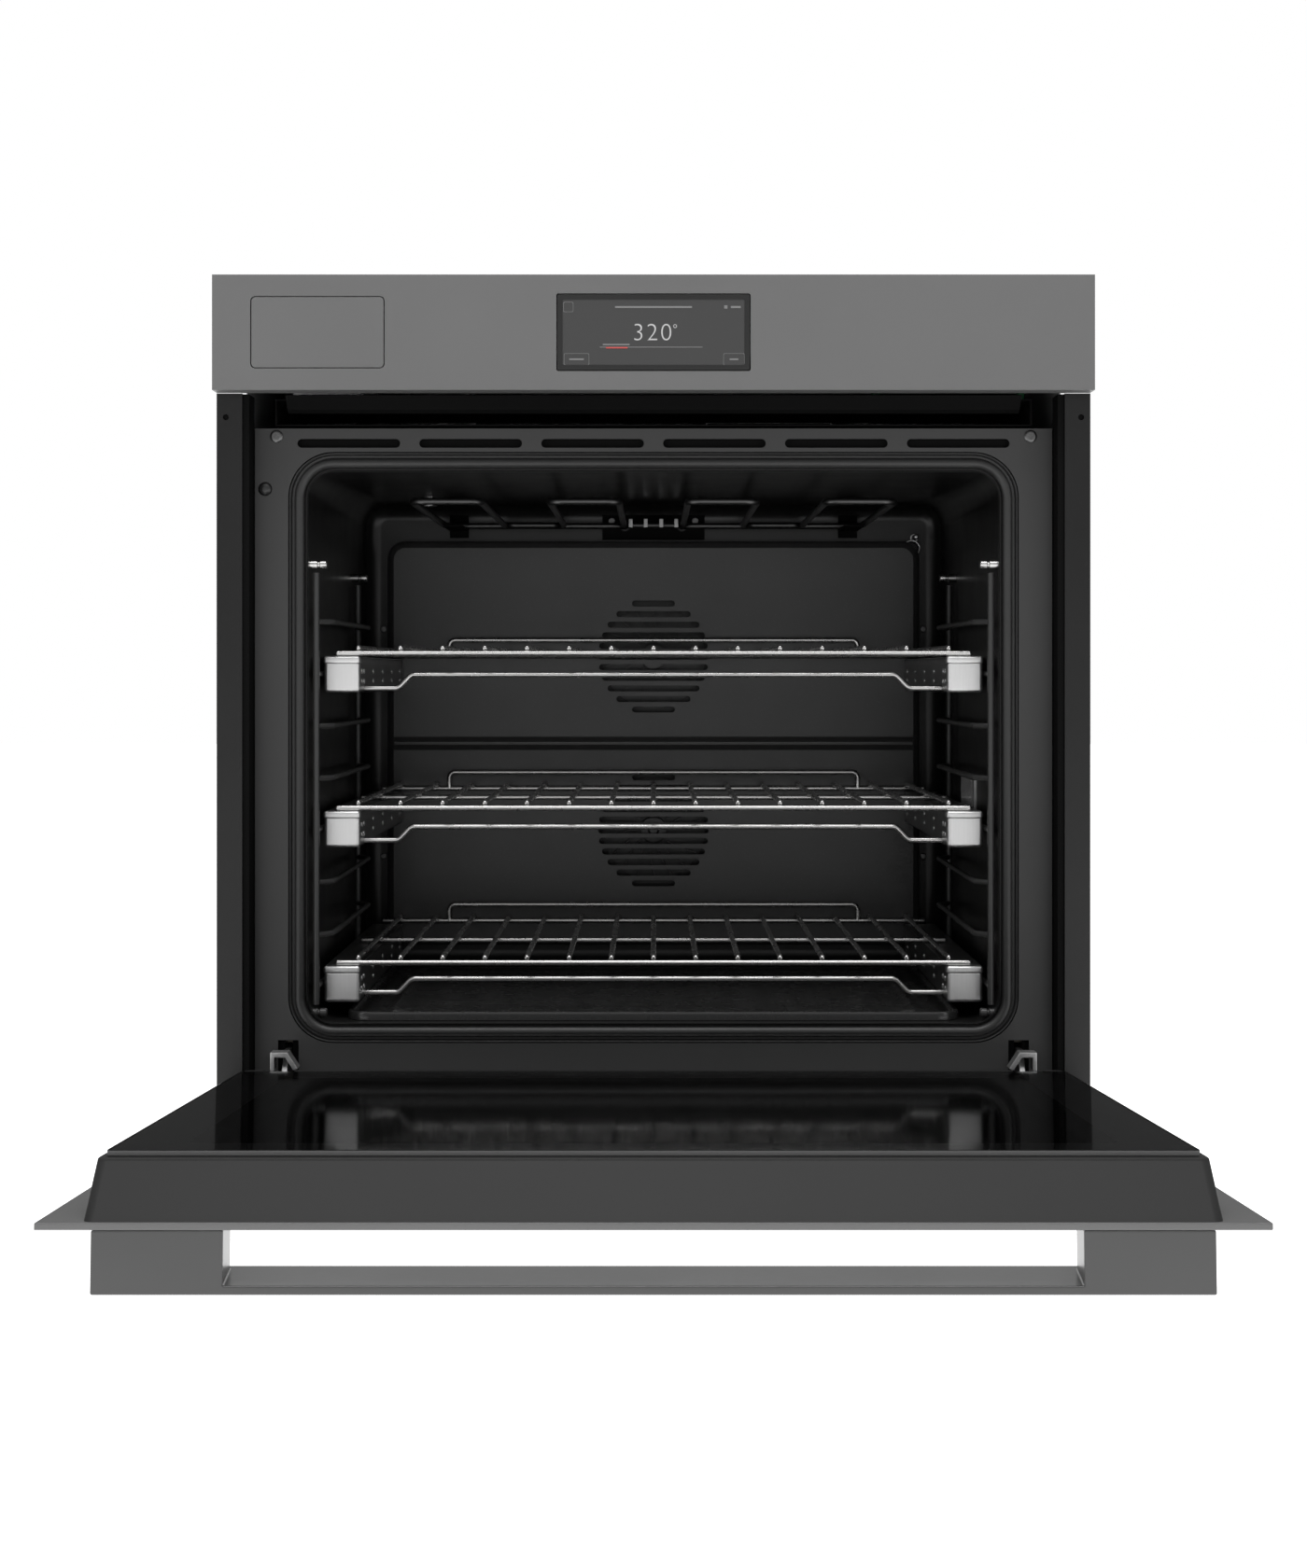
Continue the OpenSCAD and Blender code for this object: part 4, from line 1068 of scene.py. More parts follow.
def makeVentGuide(s):
    # folded strip in the air gap between the panel and the frame, near black as painted shade in that pocket
    half = ductHigh.x - s["endIn"]
    fold = half - s["endFold"]
    bm = bmesh.new()
    rows = [[bm.verts.new((x, y, frontLow.z + drop)) for x in (-half, -fold, fold, half)]
            for y, drop in s["section"]]
    for a, b in zip(rows, rows[1:]):
        for k in range(3):
            bm.faces.new((a[k], a[k + 1], b[k + 1], b[k]))
    mesh = withModifiers("ventGuide", newMesh("ventGuide", bm),
                         [("SOLIDIFY", {"thickness": s["sheet"], "offset": 0.0})])
    piece("ventGuide", mesh, "blackSheet", "oven_case", angle=20)


frameShadeDetail = {"behind": 0.0030, "sheet": 0.0008, "endIn": 0.004, "slots": (0.024, 0.003),
                "openingX": 0.320, "openingSides": ((-0.0135, -0.0035), (0.0035, 0.0135)),
                "openingZ": (0.018, 0.070)}


def makeFrameShadeSheet(s):
    # dark sheet behind the frame's air slots and round its hinge openings: painted shade, so they read dark
    y0 = frameHigh.y + s["behind"]
    y1 = y0 + s["sheet"]
    half = frameHigh.x - s["endIn"]
    low, high = s["slots"]
    strips = [boxMesh((-half, y0, frameHigh.z - low), (half, y1, frameHigh.z - high))]
    for side in (-1, 1):
        for x0, x1 in s["openingSides"]:
            centre = side * s["openingX"]
            strips.append(boxMesh((centre + x0, y0, s["openingZ"][0]), (centre + x1, y1, s["openingZ"][1])))
    piece("frameBaffle", joined(strips), "blackSheet", "oven_case")


makeScreen(screenDetail)
makeFront(frontBevels)
makeTrims(trimDetail)
makeGapShadeStrips(gapDetail)
makeVentGuide(ventDetail)
makeFrameShadeSheet(frameShadeDetail)
print("front ready")


# cavity: enamelled box, seal, fan cover

linerLow, linerHigh = corners("cavity_liner")
sealLow, sealHigh = corners("door_seal")
coverLow, coverHigh = corners("fan_cover")

cavityDetail = {"wall": 0.0012, "sealInset": 0.0028, "sealWidth": 0.014, "beadRadius": 0.0044,
                "mouthRadius": 0.023, "backRadius": 0.016, "sheet": 0.0008, "flangeOut": 0.0028,
                "foldOut": 0.0012, "wallStart": 0.004,
                "mouthEdge": [(0.0006, 0.0006), (0.0002, 0.0001), (0.0, 0.0012)]}  # outwards, inwards
mouthHalf = sealHigh.x - cavityDetail["sealInset"] - cavityDetail["sealWidth"]
mouthLow = (-mouthHalf, sealLow.z + cavityDetail["sealInset"] + cavityDetail["sealWidth"])
mouthHigh = (mouthHalf, sealHigh.z - cavityDetail["sealInset"] - cavityDetail["sealWidth"])
backWallY = linerHigh.y - cavityDetail["wall"]


def mouthRing(grow, y, steps=10):
    radius = max(cavityDetail["mouthRadius"] + grow, 0.002)
    return roundedRing((mouthLow[0] - grow, mouthLow[1] - grow), (mouthHigh[0] + grow, mouthHigh[1] + grow),
                       radius, y, steps)


def makeCavity(s):
    # one skin: the flange under the seal, the mouth's rolled edge, the walls and the rounded back
    front = linerLow.y
    flange = sealHigh.y
    reach = s["sealInset"] + s["sealWidth"] + s["flangeOut"]
    r = s["backRadius"]
    rings = [mouthRing(reach, flange), mouthRing(s["foldOut"], flange)]
    rings += [mouthRing(grow, front + y) for grow, y in s["mouthEdge"]]
    wallSteps = 8
    for k in range(wallSteps + 1):
        y = front + s["wallStart"] + (backWallY - r - front - s["wallStart"]) * k / wallSteps
        rings.append(mouthRing(0.0, y))
    cornerSteps = 6
    for k in range(1, cornerSteps + 1):
        a = math.pi / 2 * k / cornerSteps
        rings.append(mouthRing(-r * (1 - math.cos(a)), backWallY - r * (1 - math.sin(a))))
    mesh = withModifiers("cavityWalls", loft(rings, capEnd=True),
                         [("SOLIDIFY", {"thickness": s["sheet"], "offset": 1.0})])
    piece("cavityWalls", mesh, "cavityEnamel", "oven_case", ("cavity_liner",), 40)


def makeSeal(s):
    # hollow silicone profile: foot in the groove, an outer lip and the round bead the door presses
    deep = sealHigh.y - 0.0002
    face = sealLow.y
    inner = s["sealInset"]
    outer = inner + s["sealWidth"]
    beadR = s["beadRadius"]
    beadG = inner + beadR
    beadY = face + beadR
    profile = [(outer - 0.0004, deep), (outer, deep - 0.0008), (outer, face + 0.0042),
               (outer - 0.0008, face + 0.0034), (outer - 0.0022, face + 0.0040),
               (outer - 0.0030, face + 0.0062), (beadG + beadR + 0.0004, face + 0.0064)]
    for k in range(9):
        a = math.radians(-10 + 200 * k / 8)
        profile.append((beadG + beadR * math.cos(a), beadY - beadR * math.sin(a)))
    profile += [(inner, deep - 0.0006), (inner + 0.0006, deep)]
    mesh = loft([mouthRing(g, y, 12) for g, y in profile], closed=True)
    piece("doorSeal", mesh, "sealRubber", "oven_case", ("door_seal",), 50)


coverDetail = {"bevel": 0.0070, "sheet": 0.0012, "creaseHalf": 0.007, "creaseDepth": 0.0050,
               "cornerIn": 0.012, "cornerOut": 0.018, "edgeLift": 0.004, "edgeBevel": 0.0003,
               "grilleRadius": 0.061, "grilleEnd": 0.003, "slotRadius": 0.00315, "rows": 11,
               "grooveSheet": 0.0008, "grooveBevel": 0.0012, "grooveEnd": 0.35}
fanAxes = {which: Vector(jointOf(which + "_fan_spin")["pos_m"]) for which in ("upper", "lower")}


def grilleRings(axis, s, y):
    pitch = 2 * s["grilleRadius"] / s["rows"]
    rings = []
    for i in range(s["rows"]):
        z = (i - (s["rows"] - 1) / 2) * pitch
        half = math.sqrt(s["grilleRadius"] ** 2 - z ** 2) - s["grilleEnd"]
        rings.append(slotRing(axis.x, axis.z + z, half, s["slotRadius"], y))
    return rings


def halfFace(low, high, r, y, roundTop):
    # a face of the cover with its outer two corners rounded, the two at the crease square
    points = roundedRing(low, high, r, y, 6)
    n = len(points) // 4
    square = (2, 3) if roundTop else (0, 1)
    corner = [(high[0], high[1]), (low[0], high[1]), (low[0], low[1]), (high[0], low[1])]
    made = []
    for k in range(4):
        if k in square:
            made.append(Vector((corner[k][0], y, corner[k][1])))
        else:
            made += points[k * n:(k + 1) * n]
    return made


def coverRim(s, low, high, y0):
    # the pressed edge of the cover, back to the cavity's wall
    b = s["bevel"]
    steps = 6
    rings = []
    for k in range(steps + 1):
        a = k / steps
        grow = b * a + s["edgeLift"] * math.sin(math.pi * a) * 0.3
        radius = s["cornerIn"] + (s["cornerOut"] - s["cornerIn"]) * a
        rings.append(roundedRing((low[0] - grow, low[1] - grow), (high[0] + grow, high[1] + grow),
                                 radius, y0 + b * a, 6))
    rings.append(roundedRing((low[0] - b, low[1] - b), (high[0] + b, high[1] + b), s["cornerOut"],
                             backWallY - 0.0001, 6))
    return withModifiers("fanCoverRim", loft(rings),
                         [("SOLIDIFY", {"thickness": s["sheet"], "offset": -1.0})])


def coverGroove(s, half, mid, y0):
    # the groove between the two faces, shallower at its ends
    crease = s["creaseHalf"]
    deep = s["creaseDepth"]
    short = s["grooveEnd"]
    end = s["bevel"] * short
    flat = 0.25 * crease
    section = [(mid - crease, 0.0), (mid - flat, deep), (mid + flat, deep), (mid + crease, 0.0)]
    bm = bmesh.new()
    rows = []
    for x, share, back in ((-half - end, short, end), (-half, 1.0, 0.0), (half, 1.0, 0.0),
                           (half + end, short, end)):
        rows.append([bm.verts.new((x, y0 + 0.0002 + back + depth * share, z)) for z, depth in section])
    for a, c in zip(rows, rows[1:]):
        for k in range(3):
            bm.faces.new((a[k], a[k + 1], c[k + 1], c[k]))
    bmesh.ops.recalc_face_normals(bm, faces=bm.faces)
    return withModifiers("fanCoverCrease", newMesh("crease", bm),
                         [("SOLIDIFY", {"thickness": s["grooveSheet"], "offset": 0.0}),
                          ("BEVEL", {"width": s["grooveBevel"], "segments": 2, "limit_method": "ANGLE"})])


def makeFanCover(s):
    y0 = coverLow.y
    b = s["bevel"]
    mid = (fanAxes["upper"].z + fanAxes["lower"].z) / 2
    z0, z1 = coverLow.z + b, coverHigh.z - b
    half = coverHigh.x - b
    crease = s["creaseHalf"]
    outlines = {"upper": halfFace((-half, mid + crease), (half, z1), s["cornerIn"], y0, True),
                "lower": halfFace((-half, z0), (half, mid - crease), s["cornerIn"], y0, False)}
    faces = [plate(outline, grilleRings(fanAxes[which], s, y0), y0, y0 + s["sheet"], False)
             for which, outline in outlines.items()]
    piece("fanCoverFaces", bevelled("fanCoverFaces", joined(faces), s["edgeBevel"], 2), "coverEnamel",
          "oven_case", ("fan_cover",))
    piece("fanCoverRim", coverRim(s, (-half, z0), (half, z1), y0), "coverEnamel", "oven_case",
          angle=50)
    piece("fanCoverCrease", coverGroove(s, half, mid, y0), "coverEnamel", "oven_case",
          angle=25)


impellerDetail = {"hub": 0.014, "bore": 0.006, "reach": 0.05, "depth": 0.0145, "blades": 18, "root": 0.004,
                  "bow": 0.010, "rake": (0.0012, 0.003), "sheet": 0.0008, "seat": 0.0034,
                  "nut": [(0.0055, 0.001), (0.0055, -0.0022), (0.0045, -0.003)]}


def bladeMesh(s):
    # one bowed blade, upright on the disc
    bm = bmesh.new()
    root = s["hub"] + s["root"]
    steps = 6
    rows = []
    for k in range(steps + 1):
        share = k / steps
        x = root + (s["reach"] - root) * share
        z = s["bow"] * math.sin(math.pi / 2 * share) * share
        front = s["rake"][0] + s["rake"][1] * share
        rows.append([bm.verts.new((x, front, z)), bm.verts.new((x, s["depth"], z))])
    for a, b in zip(rows, rows[1:]):
        bm.faces.new((a[0], b[0], b[1], a[1]))
    return withModifiers("blade", newMesh("blade", bm),
                         [("SOLIDIFY", {"thickness": s["sheet"], "offset": 0.0})])


def makeImpeller(which, s):
    node = "fan_rotor_" + which
    low, high = corners(node)
    axis = fanAxes[which]
    blade = linked("blade", bladeMesh(s))
    ring = bladeRing.build(pointMesh([(0, 0, 0)]), {"Blade": blade, "Count": s["blades"],
                                                    "Finish": finishes["rotorAluminium"]})
    bpy.data.objects.remove(blade)
    radius = high.x - 0.0005
    hub, bore, depth = s["hub"], s["bore"], s["depth"]
    disc = [(bore, 0.0), (hub - 0.002, 0.0), (hub, 0.001), (hub, depth - 0.002), (radius - 0.002, depth),
            (radius, depth + 0.0003), (radius, depth + 0.0010), (hub, depth + 0.0008), (bore, depth + 0.0008)]
    body = loft([circleRing(0, 0, r, y, 40) for r, y in disc], closed=True)
    nut = loft([circleRing(0, 0, r, y, 6) for r, y in s["nut"]], capStart=True, capEnd=True)
    mesh = moved(joined([ring, body, nut]), Matrix.Translation((axis.x, low.y + s["seat"], axis.z)))
    piece(which + "Impeller", mesh, "rotorAluminium", which + "_fan", (node,))


makeCavity(cavityDetail)
makeSeal(cavityDetail)
makeFanCover(coverDetail)
for which in fanAxes:
    makeImpeller(which, impellerDetail)
print("cavity ready")


# heating rods, brackets, probe, lamp and tray

grillLow, grillHigh = corners("grill_element")
ringLow, ringHigh = corners("ring_elements")
probeLow, probeHigh = corners("temperature_probe")
lensLow, lensHigh = corners("lamp_lens")
trayLow, trayHigh = corners("floor_tray")

heaterDetail = {"rod": 0.0064, "runs": 8, "terminal": 0.030, "through": 0.018, "tail": 0.0142, "back": 0.025,
                "bend": 0.012, "ringRod": 0.0052, "ringBend": 0.002, "ringGap": 0.0035, "ringTail": 0.009,
                "bracketBevel": 0.0003, "strapX": (-0.0235, -0.008, 0.008, 0.0235), "strapHalf": 0.002,
                "strapSheet": 0.0012, "strapReach": 0.062}


def grillPath(s):
    # from one terminal through the back wall, to and fro, and out by the other
    h = s["rod"] / 2
    half = grillHigh.x - h
    pitch = 2 * half / (s["runs"] - 1)
    z = (grillLow.z + grillHigh.z) / 2
    front = grillLow.y + h
    out = backWallY + s["through"]
    tail = backWallY - s["tail"]
    back = backWallY - s["back"]
    points = [(s["terminal"], out), (s["terminal"], tail)]
    for i in range(s["runs"]):
        x = half - i * pitch
        start, end = (back, front) if i % 2 == 0 else (front, back)
        if i == 0:
            start = tail
        if i == s["runs"] - 1:
            end = tail
        points += [(x, start), (x, end)]
    points += [(-s["terminal"], tail), (-s["terminal"], out)]
    return [Vector((x, y, z)) for x, y in points]


def ringPaths(s):
    # two turns round each fan, with their ends bent back
    h = s["rod"] / 2
    y = ringLow.y + h
    bendBack = Vector((0, s["ringTail"], 0))
    paths = []
    for axis in fanAxes.values():
        radius = (ringHigh.x - axis.x) - h
        for turn in (-s["ringGap"], s["ringGap"]):
            angles = [math.radians(a) for a in range(-84, 265, 6)]
            loop = [Vector((axis.x + (radius + turn) * math.cos(a), y + abs(turn) + turn * 0.6,
                            axis.z + (radius + turn) * math.sin(a))) for a in angles]
            paths.append([loop[0] + bendBack, *loop, loop[-1] + bendBack])
    return paths


def grillStraps(s):
    # flat straps that hold the grill rod from the back wall, each with its front turned down
    h = s["rod"] / 2
    z = (grillLow.z + grillHigh.z) / 2
    top = z + h + s["strapSheet"]
    bottom = z - h - s["strapSheet"]
    front = backWallY - s["strapReach"]
    straps = []
    for x in s["strapX"]:
        x0, x1 = x - s["strapHalf"], x + s["strapHalf"]
        straps.append(boxMesh((x0, front, z + h), (x1, backWallY - 0.0018, top)))
        straps.append(boxMesh((x0, front - 0.001, bottom), (x1, front + 0.0002, top)))
    return bevelled("grillStraps", joined(straps), s["bracketBevel"], 2)


def makeHeaters(s):
    mesh = rods([grillPath(s)], s["rod"], s["bend"], "rodSteel")
    piece("grillRod", mesh, "rodSteel", "oven_case", ("grill_element",), 60)
    mesh = rods(ringPaths(s), s["ringRod"], s["ringBend"], "rodSteel")
    piece("ringRods", mesh, "rodSteel", "oven_case", ("ring_elements",), 60)
    refined("grill_brackets", "blackSheet", "oven_case", "slide_steel", s["bracketBevel"], 2)
    piece("grillStraps", grillStraps(s), "slideSteel", "oven_case")


probeDetail = {"tip": [(0.0012, 0.0), (0.0024, 0.0008), (0.003, 0.003)], "sheath": 0.003, "flange": 0.004,
               "flangeAt": (0.0025, 0.0006), "capillary": 0.0018, "capillaryBend": 0.0005,
               "coilRadius": 0.0085, "coilTurns": 2.6, "coilLength": 0.010, "coilFront": 0.016,
               "coilPlace": (-0.004, -0.012), "coilPoints": 64}


def makeProbe(s):
    # a round-tipped sheath with a flange on the wall, and its coiled capillary
    cx, cz = (probeLow.x + probeHigh.x) / 2, (probeLow.z + probeHigh.z) / 2
    flangeFront, flangeBack = (backWallY - d for d in s["flangeAt"])
    profile = [(r, probeLow.y + y) for r, y in s["tip"]]
    profile += [(s["sheath"], flangeFront), (s["flange"], flangeFront), (s["flange"], flangeBack),
                (s["sheath"], flangeBack), (s["sheath"], probeHigh.y)]
    sheath = loft([circleRing(cx, cz, r, y, 20) for r, y in profile], capStart=True, capEnd=True)
    right, up = s["coilPlace"]
    last = s["coilPoints"] - 1
    coil = []
    for k in range(s["coilPoints"]):
        a = 2 * math.pi * s["coilTurns"] * k / last
        coil.append(Vector((cx + right + s["coilRadius"] * math.cos(a),
                            backWallY - s["coilFront"] + s["coilLength"] * k / last,
                            cz + up + s["coilRadius"] * math.sin(a))))
    capillary = rods([coil], s["capillary"], s["capillaryBend"], "motorSteel")
    piece("ovenProbe", joined([sheath, capillary]), "motorSteel", "oven_case",
          ("temperature_probe",), 50)


lampDetail = {"depth": 0.005, "margin": 0.0015, "columns": 48, "columnsPerRib": 6, "flat": 0.72,
              "glass": 0.0018, "rim": 0.0035, "rimCorner": 0.005,
              "rimSection": [(0.0, 0.0), (0.0006, 0.0022), (0.0030, 0.0026), (0.0042, 0.0012), (0.0042, 0.0)],
              "reflectorIn": 0.002, "reflectorAt": (0.0006, 0.0002)}


def makeLamp(s):
    # ribbed lens, its rim and the reflector
    x1 = lensLow.x + s["depth"]
    count = s["columns"]
    bm = bmesh.new()
    rows = []
    for k in range(count + 1):
        y = lensLow.y + (lensHigh.y - lensLow.y) * k / count
        edge = min(1.0, min(k, count - k) / 2)
        rib = s["flat"] + (1 - s["flat"]) * abs(math.sin(math.pi * k / s["columnsPerRib"]))
        x = x1 - (x1 - lensLow.x) * edge * rib
        rows.append([bm.verts.new((x, y, z)) for z in (lensLow.z + s["margin"], lensHigh.z - s["margin"])])
    for a, b in zip(rows, rows[1:]):
        bm.faces.new((a[0], b[0], b[1], a[1]))
    mesh = withModifiers("lampLens", newMesh("lens", bm),
                         [("SOLIDIFY", {"thickness": s["glass"], "offset": 0.0})])
    piece("lampLens", mesh, "lensGlass", "oven_case", ("lamp_lens",), 60)
    low = (lensLow.y - s["rim"], lensLow.z - s["rim"])
    high = (lensHigh.y + s["rim"], lensHigh.z + s["rim"])
    turn = Matrix.Rotation(math.pi / 2, 4, "Z")
    rings = []
    for inset, out in s["rimSection"]:
        ring = roundedRing((low[0] + inset, low[1] + inset), (high[0] - inset, high[1] - inset),
                           s["rimCorner"], -mouthHigh[0] + out, 5)
        rings.append([turn @ p for p in ring])
    piece("lampRim", loft(rings), "slideSteel", "oven_case", angle=40)
    keep = s["reflectorIn"]
    far, near = (mouthHigh[0] - d for d in s["reflectorAt"])
    reflector = boxMesh((far, lensLow.y + keep, lensLow.z + keep),
                        (near, lensHigh.y - keep, lensHigh.z - keep))
    piece("lampReflector", reflector, "satinSteel", "oven_case")


# the tray's section from its rim inwards: how far in, and how far under the top
trayDetail = {"section": [(0.0, 0.0018), (0.0008, 0.0004), (0.0024, 0.0), (0.0042, 0.0008),
                          (0.0056, 0.0030), (0.0100, 0.0048), (0.030, 0.0052), (0.034, 0.0034),
                          (0.038, 0.0034), (0.042, 0.0052)],
              "foot": 0.0005, "corner": 0.022, "cornerShrink": 0.4, "cornerLeast": 0.006,
              "floorIn": 0.12, "floorCorner": 0.03, "floorUnder": 0.0052}


def makeTray(s):
    # shallow enamel tray with a rolled rim and a raised bead inside
    low = (trayLow.x, trayLow.y)
    high = (trayHigh.x, trayHigh.y)
    lay = Matrix(((1, 0, 0, 0), (0, 0, 1, 0), (0, 1, 0, 0), (0, 0, 0, 1)))

    def level(inset, z, corner):
        ring = roundedRing((low[0] + inset, low[1] + inset), (high[0] - inset, high[1] - inset), corner, z, 8)
        return [lay @ p for p in ring]

    steps = [(0.0, trayLow.z + s["foot"])] + [(inset, trayHigh.z - under) for inset, under in s["section"]]
    rings = [level(inset, z, max(s["corner"] - inset * s["cornerShrink"], s["cornerLeast"]))
             for inset, z in steps]
    rings.append(level(s["floorIn"], trayHigh.z - s["floorUnder"], s["floorCorner"]))
    mesh = loft(rings, capStart=True, capEnd=True)
    piece("floorTray", mesh, "trayEnamel", "oven_case", ("floor_tray",), angle=40)


makeHeaters(heaterDetail)
makeProbe(probeDetail)
makeLamp(lampDetail)
makeTray(trayDetail)
print("cavity fittings ready")


# ladders, slides and shelves

ladderLow, ladderHigh = corners("shelf_ladders")
studHigh = corners("ladder_studs")[1]

ladderDetail = {"post": 0.006, "postBend": 0.001, "wire": 0.005, "jog": 0.0125, "jogLength": 0.016,
                "bend": 0.008, "levelPitch": 0.046, "levels": 8, "slideEvery": 3, "slideLevels": 3,
                "studDrops": {"ladderStuds": (0.007, "platedWire"), "ladderFeet": (0.4014, "ladderWire")},
                "studProfile": [(0.0020, 0.0), (0.0034, 0.0005), (0.0040, 0.0016), (0.0040, 0.0060),
                                (0.0029, 0.0068), (0.0029, 0.0080), (0.0041, 0.0088), (0.0041, 0.0160)]}
shelfNames = ["bottom", "centre", "top"]
carriage = {name: corners("slide_carriage_" + name) for name in shelfNames}
shelfBox = {name: corners("shelf_" + name) for name in shelfNames}
slideTop = 0.016


def levelZ(name):
    return carriage[name][1].z - slideTop


def makeLadders(s):
    post = ladderHigh.x - s["post"] / 2
    y0 = ladderLow.y + s["post"] / 2
    y1 = ladderHigh.y - s["post"] / 2
    first = levelZ("bottom")
    rungs = []
    for i in range(s["levels"]):
        z = first + i * s["levelPitch"]
        holdsSlide = i % s["slideEvery"] == 0 and i // s["slideEvery"] < s["slideLevels"]
        if holdsSlide:
            rungs.append([Vector((post, y0, z)), Vector((post, y1, z))])
        else:
            x = post - s["jog"]
            rungs.append([Vector((post, y0, z)), Vector((x, y0 + s["jogLength"], z)),
                          Vector((x, y1 - s["jogLength"], z)), Vector((post, y1, z))])
    top = ladderHigh.z - s["post"] / 2
    bottom = ladderLow.z + s["post"] / 2
    paths = [[Vector((post, y, bottom)), Vector((post, y, top))] for y in (y0, y1)]
    posts = rods(mirroredPaths(paths), s["post"], s["postBend"], "ladderWire")
    bars = rods(mirroredPaths(rungs), s["wire"], s["bend"], "ladderWire")
    piece("shelfLadders", joined([posts, bars]), "ladderWire", "oven_case",
          ("shelf_ladders",), 60)
    length = s["studProfile"][-1][1]
    for name, (drop, finish) in s["studDrops"].items():
        heads = []
        for side in (-1, 1):
            turn = Matrix.Rotation(-side * math.pi / 2, 4, "Z")
            for y in (y0, y1):
                mesh = loft([circleRing(0, 0, r, d, 20) for r, d in s["studProfile"]],
                            capStart=True, capEnd=True)
                place = Matrix.Translation((side * (mouthHigh[0] - length), y, studHigh.z - drop))
                heads.append(moved(mesh, place @ turn))
        piece(name, joined(heads), finish, "oven_case", ("ladder_studs",), 50)


slideDetail = {
    "blockWidth": 0.0315, "blockDepth": 0.009, "lip": 0.0008, "lipHeight": 0.0075, "lipDepth": 0.004,
    "bevel": 0.0030, "channelBevel": 0.0004, "middleBevel": 0.0008, "channelFront": 0.006,
    "web": (0.0006, 0.0022), "webTop": 0.0015, "lid": (0.003, 0.0008), "foot": 0.0016,
    "footRim": (0.0100, 0.0112), "rimHeight": 0.008,
    "rivet": 0.0024, "rivetY": (0.022, 0.038, 0.110, 0.190, 0.270, 0.345), "rivetZ": (0.010, 0.019),
    "wire": 0.005, "wireBend": 0.008, "wireBack": 0.044, "wireUnder": (0.013, 0.0007),
    "wireIn": (-0.002, 0.030, 0.042),
}


def slideBlock(s, side, x0, x1, low, high):
    # the carriage's front block with its lip
    xa, xb = eitherSide(side, x0, x1)
    block = boxMesh((xa, low.y, low.z), (xb, low.y + s["blockDepth"], high.z - s["lipHeight"] * 0.6))
    lip = boxMesh((xa - s["lip"], low.y - 0.0004, high.z - s["lipHeight"]),
                  (xb + s["lip"] * 0.4, low.y + s["blockDepth"] + s["lipDepth"], high.z))
    return [bevelled("block", block, s["bevel"], 4), bevelled("lip", lip, s["bevel"] * 0.85, 4)]


def slideChannel(s, side, x0, x1, low, high):
    # the rolled channel behind the block: web, lid, foot and the foot's upturned rim
    web, webFar = (x0 + d for d in s["web"])
    rim, rimFar = (x0 + d for d in s["footRim"])
    lidLow, lidHigh = (high.z - d for d in s["lid"])
    front = low.y + s["channelFront"]
    parts = [(web, webFar, low.z, high.z - s["webTop"]), (web, x1, lidLow, lidHigh),
             (web, rimFar, low.z, low.z + s["foot"]), (rim, rimFar, low.z, low.z + s["rimHeight"])]
    meshes = []
    for a, b, z0, z1 in parts:
        xa, xb = eitherSide(side, a, b)
        meshes.append(boxMesh((xa, front, z0), (xb, high.y, z1)))
    return meshes


def slideRivets(s, x0, low):
    r = s["rivet"]
    profile = ((r, 0.0), (r, -0.0004), (r * 0.7, -0.0010), (r * 0.25, -0.0012))
    part = linked("rivet", loft([circleRing(0, 0, a, y, 14) for a, y in profile], capStart=True, capEnd=True))
    rivets = []
    for side in (-1, 1):
        points = [(side * (x0 + s["web"][0]), low.y + y, low.z + z) for y in s["rivetY"] for z in s["rivetZ"]]
        rivets.append(scattered(part, points, (0.0, 0.0, -side * math.pi / 2), "satinSteel"))
    bpy.data.objects.remove(part)
    return joined(rivets)


def makeSlides(name, s):
    low, high = carriage[name]
    body = "pull_out_" + name
    x1 = high.x
    x0 = x1 - s["blockWidth"]
    blocks = []
    channels = []
    for side in (-1, 1):
        blocks += slideBlock(s, side, x0, x1, low, high)
        channels += slideChannel(s, side, x0, x1, low, high)
    piece(name + "SlideBlocks", joined(blocks), "satinSteel", body,
          ("slide_carriage_" + name,), 40)
    mesh = bevelled("channels", joined(channels), s["channelBevel"], 2)
    piece(name + "SlideChannels", mesh, "slideSteel", body)
    piece(name + "SlideRivets", slideRivets(s, x0, low), "satinSteel", body)
    y = low.y + s["wireBack"]
    lowZ, highZ = (levelZ(name) - d for d in s["wireUnder"])
    half = [(x0 - d, z) for d, z in zip(s["wireIn"], (lowZ, lowZ, highZ))]
    path = [Vector((-x, y, z)) for x, z in half] + [Vector((x, y, z)) for x, z in reversed(half)]
    wire = rods([path], s["wire"], s["wireBend"], "platedWire")
    piece(name + "CrossWire", wire, "platedWire", body, angle=60)
    refined("slide_middle_" + name, "slideSteel", "middle_slide_" + name, "slide_steel", s["middleBevel"], 2)


shelfDetail = {"wire": 0.005, "pitch": 0.0376, "lift": 0.0046, "edge": 0.012, "barCount": 3,
               "hoopIn": 0.050, "hoopRise": 0.0168, "hoopBend": 0.006}


